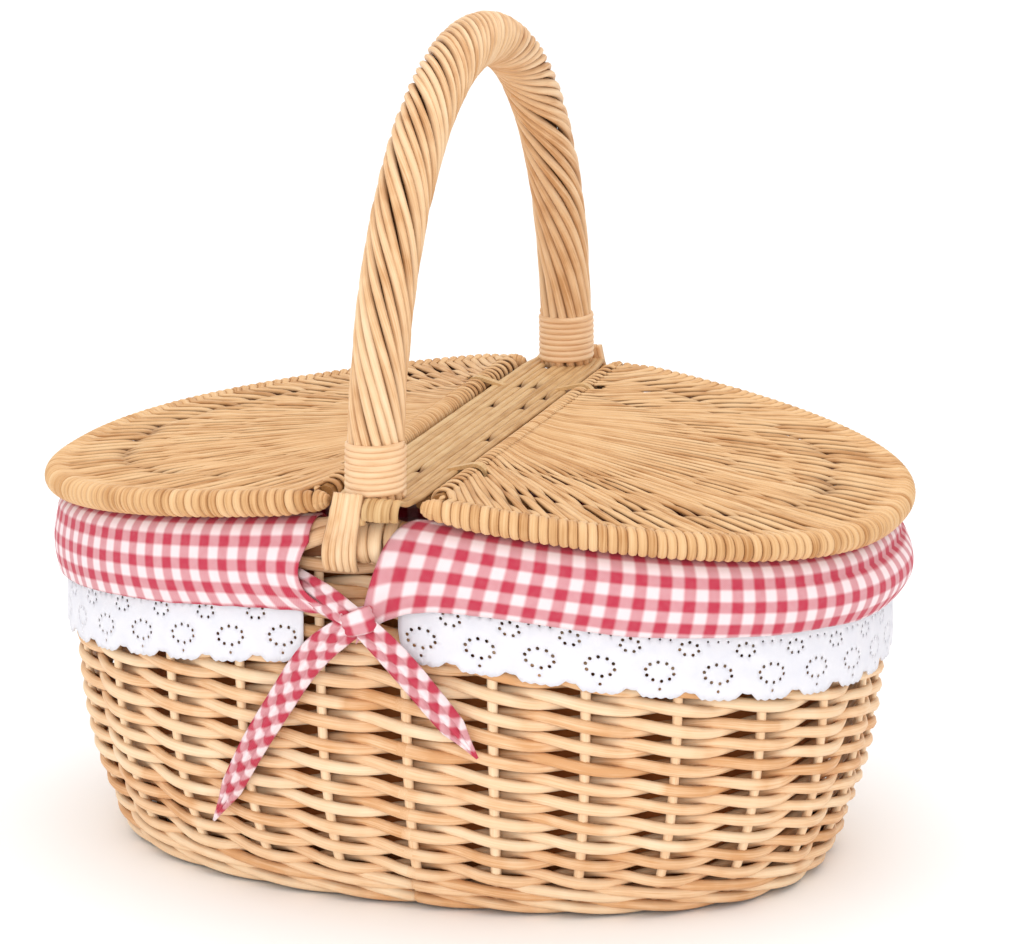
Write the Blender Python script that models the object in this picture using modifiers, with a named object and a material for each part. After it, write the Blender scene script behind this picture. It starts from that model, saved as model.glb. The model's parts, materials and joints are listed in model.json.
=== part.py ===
"""Pie basket: an oval willow basket with a fixed hoop handle, two hinged lids and a tied cloth liner.

Lengths are in metres. X runs along the basket, Y across it with the front at minus Y, Z up.
The origin is on the floor, under the middle of the basket. The basket looks the same when it is
turned half a turn about Z, so what stands at the front stands turned at the back too.
"""
import math

import bmesh
import bpy
from mathutils import Matrix, Vector

# Fit between pieces that touch
clearance = 0.0004
weld_distance = 0.00001
cloth_thickness = 0.0012
smooth_angle = math.radians(40)
millimetres = 1000

# Side: a twined willow wall on upright stakes, drawn in towards the foot
side_half_length = 0.188
side_half_width = 0.134
foot_inset = 0.026
foot_roundness = 4.3
oval_fullness = 2.32
weave_thickness = 0.0055
stake_radius = 0.0022
stake_count = 26
stake_phase_share = 0.265
side_foot_share = 1.45
side_row_count = 10
side_row_relief = 0.003
wall_level_shares = (0, 0.14, 0.38, 1)

# Foot: the oval mat and the waling round it
base_thickness = 0.007
wale_radius = 0.006
floor_gap = 0.0003

# Rim: a plaited roll, highest under the handle and falling to both ends
rim_crest_height = 0.1825
rim_radius = 0.009
rim_overhang = 0.004
rim_droop = 0.135

# Bridge between the feet of the handle
bridge_half_width = 0.0185
bridge_thickness = 0.009
rail_radius = 0.004
bridge_end_half_width = 0.016
bridge_end_reach = 0.020
bridge_end_arc_steps = 10
bridge_end_hole_sides = 12

# Handle
handle_radius = 0.0125
handle_core_radius = 0.006
handle_half_span = 0.138
handle_top_height = 0.381
handle_leg_height = 0.0047
handle_step_count = 28
foot_rod_thickness = 0.0036
foot_rod_low_angle = math.radians(-48)
foot_rod_bend_steps = 5

# Binding: one length of cane wound round each foot of the handle
binding_turns = 8
binding_cane_radius = 0.0014
binding_pitch = 0.0034
binding_points_per_turn = 12
binding_lift = 0.0008

# Lids
lid_overhang = 0.008
lid_border_radius = 0.0075
lid_hoop_radius = 0.003
lid_hinge_radius = 0.0065
hinge_bar_radius = 0.004
hinge_side_gap = 0.0008
lid_seat_allowance = 0.0007
lid_least_stand_share = 0.5
panel_top = 0.005
panel_bottom = 0.001
panel_relief = 0.0022
panel_wave_count = 5
panel_fan_share = 0.75
rib_radius = 0.002
rib_count = 3
rib_spacing = 0.027
lid_step_count = 24

# Hinge loops: bands of cane round a rail and a hinge bar
loop_place_share = 0.62
loop_width = 0.004
loop_thickness = 0.0016
loop_side_gap = 0.0006
loop_half_steps = 8

# Liner: an inner bag, two gingham flaps folded over the rim, lace under the flaps
bag_top_lift = 0.003
bag_foot_share = 0.96
bag_low_level_share = 0.25
flap_first_index = 2
flap_tuck = 0.012
flap_hem_drop = 0.026
flap_belly = 0.0015
fold_depth = 0.0022
fold_count = 9
fold_steps = 2
flap_bend_steps = 5
lace_thickness = 0.0008
lace_top_drop = 0.020
lace_hem_drop = 0.055

# Ties: cloth strips that cross under each foot of the handle
tie_width = 0.011
left_lead_width = 0.019
right_lead_width = 0.027
tie_thickness = 0.0012
tie_steps = 12
tie_tip_stand = 0.003
lead_press = 0.0008
tie_point_share = 0.16
knot_width = 0.015
knot_height = 0.014
knot_depth = 0.005
knot_segments = 12
knot_rings = 8
knot_place_shares = (-0.005, 0.776)
left_lead_shares = (-0.24, 0.88)
right_lead_shares = (0.20, 0.905)
left_tail_shares = (-0.39, 0.245)
right_tail_shares = (0.25, 0.475)

# Colours and roughness of the finishes
finishes = {
    "peeled_willow": ((0.80, 0.55, 0.30, 1), 0.55),
    "shaded_willow": ((0.62, 0.38, 0.17, 1), 0.60),
    "pale_cane": ((0.88, 0.66, 0.41, 1), 0.50),
    "red_gingham": ((0.78, 0.12, 0.15, 1), 0.85),
    "white_cotton_lace": ((0.90, 0.90, 0.93, 1), 0.85),
}

# Sizes worked out from the ones above
rim_half_length = side_half_length + rim_overhang - rim_radius
rim_half_width = side_half_width + rim_overhang - rim_radius
rim_mid_height = rim_crest_height - rim_radius
wale_height = wale_radius + floor_gap
bridge_bottom = rim_crest_height + clearance
bridge_top = bridge_bottom + bridge_thickness
bridge_mid_height = bridge_bottom + bridge_thickness / 2
rail_x = bridge_half_width - rail_radius
hinge_x = bridge_half_width + hinge_side_gap + lid_hinge_radius
lid_half_length = rim_half_length + rim_radius + lid_overhang
lid_half_width = rim_half_width + rim_radius + lid_overhang
border_inset = rim_radius + lid_overhang - lid_border_radius
flap_radius = (rim_radius + 2 * clearance) / math.cos(math.pi / flap_bend_steps / 2)
border_reach = flap_radius + cloth_thickness + lid_border_radius + clearance + lid_seat_allowance
least_stand = lid_least_stand_share * border_reach
lid_stand = math.sqrt(max(border_reach ** 2 - border_inset ** 2, least_stand ** 2))
droop_angle = math.atan(rim_droop)
hinge_height = rim_mid_height + rim_droop * (bridge_half_width - hinge_x) + lid_stand / math.cos(droop_angle)
handle_bottom = bridge_top + clearance
handle_spring = handle_bottom + handle_leg_height
handle_rise = handle_top_height - handle_radius - handle_spring
loop_place = loop_place_share * rim_half_width
loop_inner_radius = max(rail_radius, hinge_bar_radius) + clearance
loop_outer_radius = loop_inner_radius + loop_thickness
flap_wall_offset = side_half_length - rim_half_length + clearance + lace_thickness + clearance
flap_bulge = max(flap_radius + (flap_belly + fold_depth) / 2, flap_wall_offset + fold_depth)
flap_outer = flap_bulge + cloth_thickness + rim_half_length - side_half_length

HALF_TURN = Matrix.Rotation(math.pi, 4, "Z")


def clear_scene():
    """Empty the open file, so that the script gives the same basket each time."""
    for old in list(bpy.data.objects):
        bpy.data.objects.remove(old, do_unlink=True)
    for old in list(bpy.data.collections):
        bpy.data.collections.remove(old)


def finish(piece, finish_name):
    """Give a piece its own material."""
    colour, roughness = finishes[finish_name]
    material = bpy.data.materials.new(piece.name + "_" + finish_name)
    material.use_nodes = True
    shader = material.node_tree.nodes["Principled BSDF"]
    shader.inputs["Base Color"].default_value = colour
    shader.inputs["Roughness"].default_value = roughness
    shader.inputs["Metallic"].default_value = 0
    piece.data.materials.clear()
    piece.data.materials.append(material)


def add_piece(name, data, finish_name, frame=None, parent=None):
    """Put mesh or curve data in the basket's collection as one named piece."""
    piece = bpy.data.objects.new(name, data)
    basket.objects.link(piece)
    if parent is not None:
        piece.parent = parent
    if frame is not None:
        piece.matrix_basis = frame
    finish(piece, finish_name)
    return piece


def loft(name, rings, closed, finish_name, frame=None, parent=None, capped=True):
    """Skin a row of sections, each a loop of points, into one body or one open sheet."""
    mesh = bmesh.new()
    rows = [[mesh.verts.new(point) for point in ring] for ring in rings]
    pairs = list(zip(rows, rows[1:]))
    if closed:
        pairs.append((rows[-1], rows[0]))
    for low, high in pairs:
        for here in range(len(low)):
            there = (here + 1) % len(low)
            mesh.faces.new((low[here], low[there], high[there], high[here]))
    if capped and not closed:
        mesh.faces.new(reversed(rows[0]))
        mesh.faces.new(rows[-1])
    bmesh.ops.recalc_face_normals(mesh, faces=mesh.faces)
    data = bpy.data.meshes.new(name)
    mesh.to_mesh(data)
    mesh.free()
    data.shade_smooth()
    data.set_sharp_from_angle(angle=smooth_angle)
    return add_piece(name, data, finish_name, frame, parent)


def rod_curve(name, runs, radius, resolution, closed=False, caps=True):
    """A round rod along each run of points, as one curve."""
    curve = bpy.data.curves.new(name, "CURVE")
    curve.dimensions = "3D"
    curve.bevel_depth = radius
    curve.bevel_resolution = resolution
    curve.use_fill_caps = caps
    for points in runs:
        spline = curve.splines.new("POLY")
        spline.points.add(len(points) - 1)
        spline.use_cyclic_u = closed
        for slot, point in zip(spline.points, points):
            slot.co = (*point, 1)
    return curve


def rod(name, runs, radius, finish_name, resolution=1, closed=False, frame=None, parent=None):
    """A solid rod, or several that share one node."""
    curve = rod_curve(name, runs, radius, resolution, closed)
    return add_piece(name, curve, finish_name, frame, parent)


def rod_mesh(name, runs, radius, closed, collection):
    """Rods as a plain mesh with welded ends, ready for a Boolean."""
    guide = bpy.data.objects.new(name + "_guide", rod_curve(name, runs, radius, 1, closed))
    basket.objects.link(guide)
    bpy.context.view_layer.update()
    data = bpy.data.meshes.new_from_object(guide.evaluated_get(bpy.context.evaluated_depsgraph_get()))
    bpy.data.objects.remove(guide, do_unlink=True)
    mesh = bmesh.new()
    mesh.from_mesh(data)
    bmesh.ops.remove_doubles(mesh, verts=mesh.verts, dist=weld_distance)
    mesh.to_mesh(data)
    mesh.free()
    data.name = name
    piece = bpy.data.objects.new(name, data)
    collection.objects.link(piece)
    return piece


def fused_rods(name, runs, hoop, radius, finish_name):
    """Rods that stand on one hoop, joined to it as a single body."""
    piece = rod_mesh(name, runs, radius, False, basket)
    finish(piece, finish_name)
    base = rod_mesh(name + "_hoop", [hoop], radius, True, cutters)
    base.hide_render = True
    base.display_type = "WIRE"
    union = piece.modifiers.new("hoop", "BOOLEAN")
    union.operation = "UNION"
    union.solver = "EXACT"
    union.object = base


def pipe(name, runs, radius, bore_radius, finish_name, resolution=2, frame=None, parent=None):
    """A tube with an open bore along each run of points: an open skin with a wall thickness."""
    guide = bpy.data.objects.new(name + "_guide", rod_curve(name, runs, radius, resolution, caps=False))
    basket.objects.link(guide)
    bpy.context.view_layer.update()
    skin = bpy.data.meshes.new_from_object(guide.evaluated_get(bpy.context.evaluated_depsgraph_get()))
    bpy.data.objects.remove(guide, do_unlink=True)
    skin.name = name
    piece = add_piece(name, skin, finish_name, frame, parent)
    side_count = 4 + 2 * resolution
    wall = piece.modifiers.new("wall", "SOLIDIFY")
    wall.thickness = radius * math.cos(math.pi / side_count) - bore_radius
    wall.offset = -1
    wall.use_even_offset = True
    return piece


def plate(name, outlines, thickness, finish_name, frame=None, parent=None):
    """A flat plate between outlines in its own XY plane; an outline inside another is a hole."""
    curve = bpy.data.curves.new(name, "CURVE")
    curve.dimensions = "2D"
    curve.fill_mode = "BOTH"
    curve.extrude = thickness / 2
    for outline in outlines:
        spline = curve.splines.new("POLY")
        spline.points.add(len(outline) - 1)
        spline.use_cyclic_u = True
        for slot, point in zip(spline.points, outline):
            slot.co = (*point, 0, 1)
    return add_piece(name, curve, finish_name, frame, parent)


def oval_point(half_length, half_width, angle):
    """A point of the basket's full oval, an ellipse with slightly square shoulders."""
    power = 2 / oval_fullness
    along, across = math.cos(angle), math.sin(angle)
    return (math.copysign(abs(along) ** power, along) * half_length,
            math.copysign(abs(across) ** power, across) * half_width)


def oval_reach(half_length, half_width, x):
    """Half of the oval's width at a place along it."""
    return half_width * (1 - (abs(x) / half_length) ** oval_fullness) ** (1 / oval_fullness)


def even_oval_angles(count, first_share):
    """Angles that space points evenly along the side, from the middle of the front."""
    fine_steps = 4000
    angles = [-math.pi / 2 + math.tau * step / fine_steps for step in range(fine_steps + 1)]
    points = [Vector(oval_point(side_half_length, side_half_width, angle)) for angle in angles]
    travelled = [0]
    for here, there in zip(points, points[1:]):
        travelled.append(travelled[-1] + (there - here).length)
    spacing = travelled[-1] / count
    found, mark = [], 0
    for number in range(count):
        goal = (number + first_share) * spacing
        while travelled[mark + 1] < goal:
            mark += 1
        found.append(angles[mark])
    return found


ring_count = 2 * stake_count
ring_angles = even_oval_angles(ring_count, 2 * stake_phase_share)


def rim_height(x):
    """Height of the rim's middle: level under the bridge, then falling evenly to both ends."""
    return rim_mid_height - rim_droop * (math.hypot(x, bridge_half_width) - bridge_half_width)


def rim_point(index, outward, up):
    """A point beside the rim's middle line, at a place between two ring numbers."""
    places = []
    for number in (math.floor(index), math.floor(index) + 1):
        angle = ring_angles[number % ring_count]
        middle = oval_point(rim_half_length, rim_half_width, angle)
        x, y = oval_point(rim_half_length + outward, rim_half_width + outward, angle)
        places.append(Vector((x, y, rim_height(middle[0]) + up)))
    return places[0].lerp(places[1], index - math.floor(index))


def inset_at(height):
    """How far the side has drawn in at a height."""
    left = max(1 - height / rim_mid_height, 0)
    return foot_inset * left ** foot_roundness


def side_point(index, height, depth):
    """A point at a depth behind the outside of the side, square to its slope."""
    left = max(1 - height / rim_mid_height, 0)
    slope = math.atan(foot_inset * foot_roundness / rim_mid_height * left ** (foot_roundness - 1))
    inward = inset_at(height) + depth * math.cos(slope)
    x, y = oval_point(side_half_length - inward, side_half_width - inward, ring_angles[index % ring_count])
    return Vector((x, y, height + depth * math.sin(slope)))


def side_top(index, drop):
    """Height of what ends below the rim at a ring number."""
    middle = oval_point(rim_half_length, rim_half_width, ring_angles[index % ring_count])
    return rim_height(middle[0]) - rim_radius - drop


def front_point(x, height, outward):
    """A point that stands off the side, at a place along the front and a height."""
    half_length = side_half_length - inset_at(height) + outward
    half_width = side_half_width - inset_at(height) + outward
    return Vector((x, -oval_reach(half_length, half_width, x), height))


def make_foot():
    wale_inset = inset_at(wale_height) + wale_radius
    half_length, half_width = side_half_length - wale_inset, side_half_width - wale_inset
    wale_line = [(*oval_point(half_length, half_width, angle), wale_height) for angle in ring_angles]
    rod("base_wale", [wale_line], wale_radius, "shaded_willow", closed=True)
    mat_inset = wale_inset + wale_radius + clearance
    outline = [oval_point(side_half_length - mat_inset, side_half_width - mat_inset, angle)
               for angle in ring_angles]
    plate("base_mat", [outline], base_thickness, "shaded_willow",
          frame=Matrix.Translation((0, 0, base_thickness / 2)))


def side_levels(index, bottom, drop, shares):
    top = side_top(index, drop)
    return [bottom + share * (top - bottom) for share in shares]


def make_side():
    """The twined wall. Its rows are drawn coarsely: each is out at one place and in at the next."""
    row_shares = [row / side_row_count for row in range(side_row_count + 1)]
    bottom = side_foot_share * wale_height
    sections = []
    for index in range(ring_count):
        outer = []
        for row, level in enumerate(side_levels(index, bottom, clearance, row_shares)):
            dips = 0 < row < side_row_count and (row + index) % 2 == 1
            outer.append(side_point(index, level, side_row_relief if dips else 0))
        inner = [side_point(index, level, weave_thickness)
                 for level in side_levels(index, bottom, clearance, wall_level_shares)]
        inner[-1].z = outer[-1].z
        sections.append(outer + inner[::-1])
    loft("side_weave", sections, True, "peeled_willow")
    stake_depth = weave_thickness + 2 * clearance + stake_radius
    stake_bottom = 2 * wale_height
    runs = []
    for index in range(0, ring_count, 2):
        levels = side_levels(index, stake_bottom, clearance + stake_radius, wall_level_shares)
        runs.append([side_point(index, level, stake_depth) for level in levels])
    foot_hoop = [run[0] for run in runs]
    fused_rods("side_stakes", runs, foot_hoop, stake_radius, "shaded_willow")


def make_rim():
    line = [rim_point(index, 0, 0) for index in range(ring_count)]
    rod("rim_border", [line], rim_radius, "peeled_willow", resolution=2, closed=True)


def handle_line():
    arc = [math.pi * step / handle_step_count for step in range(handle_step_count + 1)]
    line = [(0, -handle_half_span * math.cos(turn), handle_spring + handle_rise * math.sin(turn))
            for turn in arc]
    return [(0, -handle_half_span, handle_bottom)] + line + [(0, handle_half_span, handle_bottom)]


def make_handle():
    line = handle_line()
    pipe("handle_wrap", [line], handle_radius, handle_core_radius + clearance, "pale_cane", resolution=3)
    front_foot = (0, -handle_half_span, bridge_bottom + clearance)
    back_foot = (0, handle_half_span, bridge_bottom + clearance)
    rod("handle_core", [[front_foot] + line[1:-1] + [back_foot]], handle_core_radius, "shaded_willow")


def binding_line():
    """The winding round the front foot, with a straight run at each end."""
    wound_radius = handle_radius + binding_lift + binding_cane_radius
    start_height = handle_bottom + 2 * binding_cane_radius
    steps = binding_turns * binding_points_per_turn
    line = []
    for step in range(steps + 1):
        turn = math.tau * step / binding_points_per_turn
        height = start_height + binding_pitch * step / binding_points_per_turn
        lean = math.sqrt(1 - (max(height - handle_spring, 0) / handle_rise) ** 2)
        line.append(Vector((wound_radius * math.cos(turn),
                            wound_radius * math.sin(turn) - handle_half_span * lean, height)))
    first_run = (line[0] - line[1]).normalized() * 2 * binding_cane_radius
    last_run = (line[-1] - line[-2]).normalized() * 2 * binding_cane_radius
    return [line[0] + first_run] + line + [line[-1] + last_run]


def least_gap_to_itself(line, radius, points_per_turn):
    """The smallest free space between turns, measured between points of the line."""
    skip = points_per_turn // 2
    spans = [(line[a] - line[b]).length for a in range(len(line)) for b in range(a + skip, len(line))]
    return min(spans) - 2 * radius


def make_bindings():
    line = binding_line()
    gap = least_gap_to_itself(line, binding_cane_radius, binding_points_per_turn)
    print("least gap between the turns of a binding, in mm:", round(gap * millimetres, 2))
    rod("handle_binding_front", [line], binding_cane_radius, "pale_cane")
    rod("handle_binding_back", [[HALF_TURN @ point for point in line]], binding_cane_radius, "pale_cane")


def make_foot_rods():
    """The flat ends of the handle rods, bent over the outside of the rim."""
    inner_radius = rim_radius + clearance
    outer_radius = inner_radius + foot_rod_thickness
    high_angle = math.asin(min((bridge_bottom - clearance - rim_mid_height) / outer_radius, 1))
    turn_step = (high_angle - foot_rod_low_angle) / foot_rod_bend_steps
    turns = [foot_rod_low_angle + turn_step * step for step in range(foot_rod_bend_steps + 1)]
    front = -math.pi / 2
    misses = [abs(math.remainder(angle - front, math.tau)) for angle in ring_angles]
    near = misses.index(min(misses))
    first, last = near - 1, near + 1
    for name, frame in (("handle_foot_front", None), ("handle_foot_back", HALF_TURN)):
        sections = []
        for step in range(first * 2, last * 2 + 1):
            path = [(outer_radius, turn) for turn in turns]
            path += [(inner_radius, turn) for turn in reversed(turns)]
            sections.append([rim_point(step / 2, radius * math.cos(turn), radius * math.sin(turn))
                             for radius, turn in path])
        loft(name, sections, False, "pale_cane", frame=frame)


def make_bridge():
    end_start = handle_half_span - bridge_end_reach
    weave_half = rail_x - rail_radius - clearance
    notch_x = rail_x - loop_outer_radius - loop_side_gap
    notch_half = loop_width / 2 + loop_side_gap
    edge = [(weave_half, -end_start + clearance)]
    for place in (-loop_place, loop_place):
        edge += [(weave_half, place - notch_half), (notch_x, place - notch_half),
                 (notch_x, place + notch_half), (weave_half, place + notch_half)]
    edge += [(weave_half, end_start - clearance)]
    outline = edge + [(-x, -y) for x, y in edge]
    plate("bridge_weave", [outline], bridge_thickness, "peeled_willow",
          frame=Matrix.Translation((0, 0, bridge_mid_height)))
    rail_half = end_start - clearance
    for side, sign in (("left", -1), ("right", 1)):
        run = [(sign * rail_x, -rail_half, bridge_mid_height), (sign * rail_x, rail_half, bridge_mid_height)]
        rod("bridge_rail_" + side, [run], rail_radius, "shaded_willow", resolution=2)
    make_bridge_ends(end_start)


def make_bridge_ends(end_start):
    """The strip's rounded ends, with a hole each for the handle core."""
    half = bridge_end_half_width
    arc = [math.pi * step / bridge_end_arc_steps for step in range(bridge_end_arc_steps + 1)]
    bend = handle_half_span + bridge_end_reach - half
    outline = [(half, -end_start)]
    outline += [(half * math.cos(turn), -bend - half * math.sin(turn)) for turn in arc]
    outline += [(-half, -end_start)]
    hole_radius = handle_core_radius + 2 * clearance
    round_hole = [math.tau * step / bridge_end_hole_sides for step in range(bridge_end_hole_sides)]
    hole = [(hole_radius * math.cos(turn), hole_radius * math.sin(turn) - handle_half_span)
            for turn in round_hole]
    lift = Matrix.Translation((0, 0, bridge_mid_height))
    for name, frame in (("bridge_end_front", lift), ("bridge_end_back", HALF_TURN @ lift)):
        plate(name, [outline, hole], bridge_thickness, "pale_cane", frame=frame)


def make_hinge_loops():
    """Bands of cane round the bridge's rail and the lid's hinge bar."""
    inner, outer = loop_inner_radius, loop_outer_radius
    rail = Vector((rail_x, 0, bridge_mid_height))
    bar = Vector((hinge_x, 0, hinge_height))
    lean = math.atan2(bar.z - rail.z, bar.x - rail.x)
    for side, turn in (("right", None), ("left", HALF_TURN)):
        for end, place in (("front", -loop_place), ("back", loop_place)):
            local = place if turn is None else -place
            sections = []
            for centre, start in ((bar, lean - math.pi / 2), (rail, lean + math.pi / 2)):
                for step in range(loop_half_steps + 1):
                    angle = start + math.pi * step / loop_half_steps
                    spoke = Vector((math.cos(angle), 0, math.sin(angle)))
                    middle = centre + Vector((0, local, 0))
                    half = Vector((0, loop_width / 2, 0))
                    sections.append([middle + spoke * inner - half, middle + spoke * outer - half,
                                     middle + spoke * outer + half, middle + spoke * inner + half])
            loft("hinge_loop_" + side + "_" + end, sections, True, "pale_cane", frame=turn)


def lid_outline(inset, start_x):
    """Half of the lid's oval in the lid's own frame, from its front corner round to its back corner."""
    half_length = lid_half_length - inset
    half_width = lid_half_width - inset
    share = (hinge_x + start_x) / half_length
    corner = math.acos(share ** (oval_fullness / 2))
    points = []
    for step in range(lid_step_count + 1):
        angle = -corner + 2 * corner * step / lid_step_count
        x, y = oval_point(half_length, half_width, angle)
        points.append(((x - hinge_x) / math.cos(droop_angle), y))
    return points


def make_panel(name, inset, axis):
    """A lid's woven panel. Its strands fan out from the hinge, and their rise and fall is drawn coarsely."""
    hinge_side = lid_hinge_radius + clearance
    sections = []
    for number, (x, y) in enumerate(lid_outline(inset, hinge_side)):
        fan_y = y * panel_fan_share
        section = []
        for step in range(panel_wave_count + 1):
            share = step / panel_wave_count
            height = panel_top - panel_relief * ((number + step) % 2)
            section.append((x + (hinge_side - x) * share, y + (fan_y - y) * share, height))
        sections.append(section + [(hinge_side, fan_y, -panel_bottom), (x, y, -panel_bottom)])
    loft(name, sections, False, "peeled_willow", parent=axis)


def make_lid(side, turn):
    axis = bpy.data.objects.new(side + "_lid_axis", None)
    basket.objects.link(axis)
    hinge = Matrix.Translation((hinge_x, 0, hinge_height))
    axis.matrix_basis = turn @ hinge @ Matrix.Rotation(droop_angle, 4, "Y")
    border_line = [(x, y, 0) for x, y in lid_outline(lid_border_radius, 0)]
    rod(side + "_lid_hoop", [border_line], lid_hoop_radius, "shaded_willow", parent=axis)
    pipe(side + "_lid_border", [border_line], lid_border_radius, lid_hoop_radius + clearance,
         "peeled_willow", parent=axis)
    border_middle = oval_reach(lid_half_length - lid_border_radius, lid_half_width - lid_border_radius,
                               hinge_x + lid_hinge_radius)
    bar_end = border_middle - lid_border_radius - 2 * clearance
    rod(side + "_lid_hinge_bar", [[(0, -bar_end, 0), (0, bar_end, 0)]], hinge_bar_radius,
        "shaded_willow", resolution=2, parent=axis)
    gap = loop_width / 2 + loop_side_gap
    stops = [-bar_end, -loop_place - gap, -loop_place + gap, loop_place - gap, loop_place + gap, bar_end]
    for end, start, stop in zip(("front", "middle", "back"), stops[::2], stops[1::2]):
        pipe(side + "_lid_hinge_wrap_" + end, [[(0, start, 0), (0, stop, 0)]], lid_hinge_radius,
             hinge_bar_radius + clearance, "peeled_willow", parent=axis)
    panel_inset = 2 * lid_border_radius + clearance + lid_seat_allowance
    make_panel(side + "_lid_panel", panel_inset, axis)
    rib_height = -panel_bottom - clearance - rib_radius
    for number in range(1, rib_count + 1):
        arc = lid_outline(panel_inset + number * rib_spacing, lid_hinge_radius + clearance + rib_radius)
        line = [(x, y, rib_height) for x, y in arc[::2]]
        rod(side + "_lid_rib_" + str(number), [line], rib_radius, "shaded_willow", parent=axis)


def make_bag():
    """The liner's inner bag: an open skin inside the stakes, hung from the rim."""
    depth = side_half_length - rim_half_length + flap_radius + cloth_thickness + clearance
    floor = base_thickness + clearance + cloth_thickness
    low = bag_low_level_share * floor
    rings = []
    for share in wall_level_shares:
        ring = []
        for index in range(0, ring_count, 2):
            top = rim_point(index, 0, bag_top_lift).z
            lift = side_point(index, low, depth).z
            level = low + share * (top - low)
            point = side_point(index, level, depth)
            point.z = lift + share * (top - lift)
            ring.append(point)
        rings.append(ring)
    foot = [Vector((point.x * bag_foot_share, point.y * bag_foot_share, floor)) for point in rings[0]]
    rings = [foot] + rings
    bag = loft("liner_bag", rings, False, "red_gingham", capped=False)
    mesh = bmesh.new()
    mesh.from_mesh(bag.data)
    hems = [edge for edge in mesh.edges if edge.is_boundary]
    low_hem = [edge for edge in hems if edge.verts[0].co.z < floor + clearance]
    bmesh.ops.contextual_create(mesh, geom=low_hem)
    bmesh.ops.recalc_face_normals(mesh, faces=mesh.faces)
    mesh.to_mesh(bag.data)
    mesh.free()
    wall = bag.modifiers.new("cloth", "SOLIDIFY")
    wall.thickness = cloth_thickness
    wall.offset = -1
    wall.use_even_offset = True


def flap_profile(fold):
    """The flap's inner face, from its tucked hem inside the rim to its hem outside."""
    profile = [(-flap_radius, -flap_tuck)]
    for step in range(flap_bend_steps + 1):
        turn = math.pi - math.pi * step / flap_bend_steps
        profile.append((flap_radius * math.cos(turn), flap_radius * math.sin(turn)))
    profile.append((flap_radius + flap_belly / 2 + fold / 2, -flap_hem_drop / 2))
    profile.append((flap_wall_offset + fold, -flap_hem_drop))
    return profile


def thickened(profile, thickness):
    """A closed section: the profile and a copy of it moved out by the cloth's thickness."""
    outer = []
    for number, (out, up) in enumerate(profile):
        before = profile[max(number - 1, 0)]
        after = profile[min(number + 1, len(profile) - 1)]
        run = Vector((after[0] - before[0], after[1] - before[1])).normalized()
        outer.append((out - run.y * thickness, up + run.x * thickness))
    return profile + outer[::-1]


def make_flaps():
    half_ring = ring_count // 2
    span = half_ring - flap_first_index - 1
    for side, start in (("right", flap_first_index - 1), ("left", flap_first_index - 1 + half_ring)):
        sections = []
        for step in range(span * fold_steps + 1):
            index = start + step / fold_steps
            wave = (1 - math.cos(math.tau * fold_count * step / (span * fold_steps))) / 2
            section = thickened(flap_profile(fold_depth * wave), cloth_thickness)
            sections.append([rim_point(index, out, up) for out, up in section])
        loft("liner_flap_" + side, sections, False, "red_gingham")
        wall = side_half_length - rim_half_length + clearance
        strip = [(wall, -lace_top_drop), (wall, -lace_hem_drop),
                 (wall + lace_thickness, -lace_hem_drop), (wall + lace_thickness, -lace_top_drop)]
        rows = [[rim_point(start + step, out, up) for out, up in strip] for step in range(span + 1)]
        loft("lace_trim_" + side, rows, False, "white_cotton_lace")


def tie_strip(name, stations, frame):
    """A strip of cloth in front of the side. A station is x, height, stand off the side and width."""
    places = []
    for start, stop in zip(stations, stations[1:]):
        for step in range(tie_steps // 2):
            share = step / (tie_steps // 2)
            place = Vector(start).lerp(Vector(stop), share)
            place.z = start[2] + (stop[2] - start[2]) * share ** 2
            places.append(place)
    places.append(Vector(stations[-1]))
    sections = []
    for number, place in enumerate(places):
        before = places[max(number - 1, 0)]
        after = places[min(number + 1, len(places) - 1)]
        run = (after.xy - before.xy).normalized()
        taper = tie_point_share if number == len(places) - 1 else 1
        reach = Vector((-run.y, run.x)) * place.w / 2 * taper
        edges = [place.xy - reach, place.xy + reach]
        near = [front_point(edge.x, edge.y, place.z) for edge in edges]
        far = [front_point(edge.x, edge.y, place.z + tie_thickness) for edge in reversed(edges)]
        sections.append(near + far)
    return loft(name, sections, False, "red_gingham", frame=frame)


def make_ties():
    def place(shares, stand, width=tie_width):
        return (shares[0] * side_half_length, shares[1] * rim_mid_height, stand, width)
    under = flap_outer + clearance
    over = under + tie_thickness + clearance
    left_route = [place(left_lead_shares, under - lead_press, left_lead_width),
                  place(knot_place_shares, under), place(right_tail_shares, tie_tip_stand)]
    right_route = [place(right_lead_shares, over - lead_press, right_lead_width),
                   place(knot_place_shares, over), place(left_tail_shares, tie_tip_stand)]
    for end, frame in (("front", Matrix.Identity(4)), ("back", HALF_TURN)):
        tie_strip("tie_strip_" + end + "_left", left_route, frame)
        tie_strip("tie_strip_" + end + "_right", right_route, frame)
        knot = bmesh.new()
        bmesh.ops.create_uvsphere(knot, u_segments=knot_segments, v_segments=knot_rings, radius=1)
        front = front_point(*place(knot_place_shares, over + tie_thickness + 2 * clearance + knot_depth)[:3])
        size = Matrix.Diagonal((knot_width / 2, knot_depth, knot_height / 2, 1))
        bmesh.ops.transform(knot, matrix=Matrix.Translation(front) @ size, verts=knot.verts)
        data = bpy.data.meshes.new("tie_knot_" + end)
        knot.to_mesh(data)
        knot.free()
        data.shade_smooth()
        add_piece("tie_knot_" + end, data, "red_gingham", frame=frame)


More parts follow.
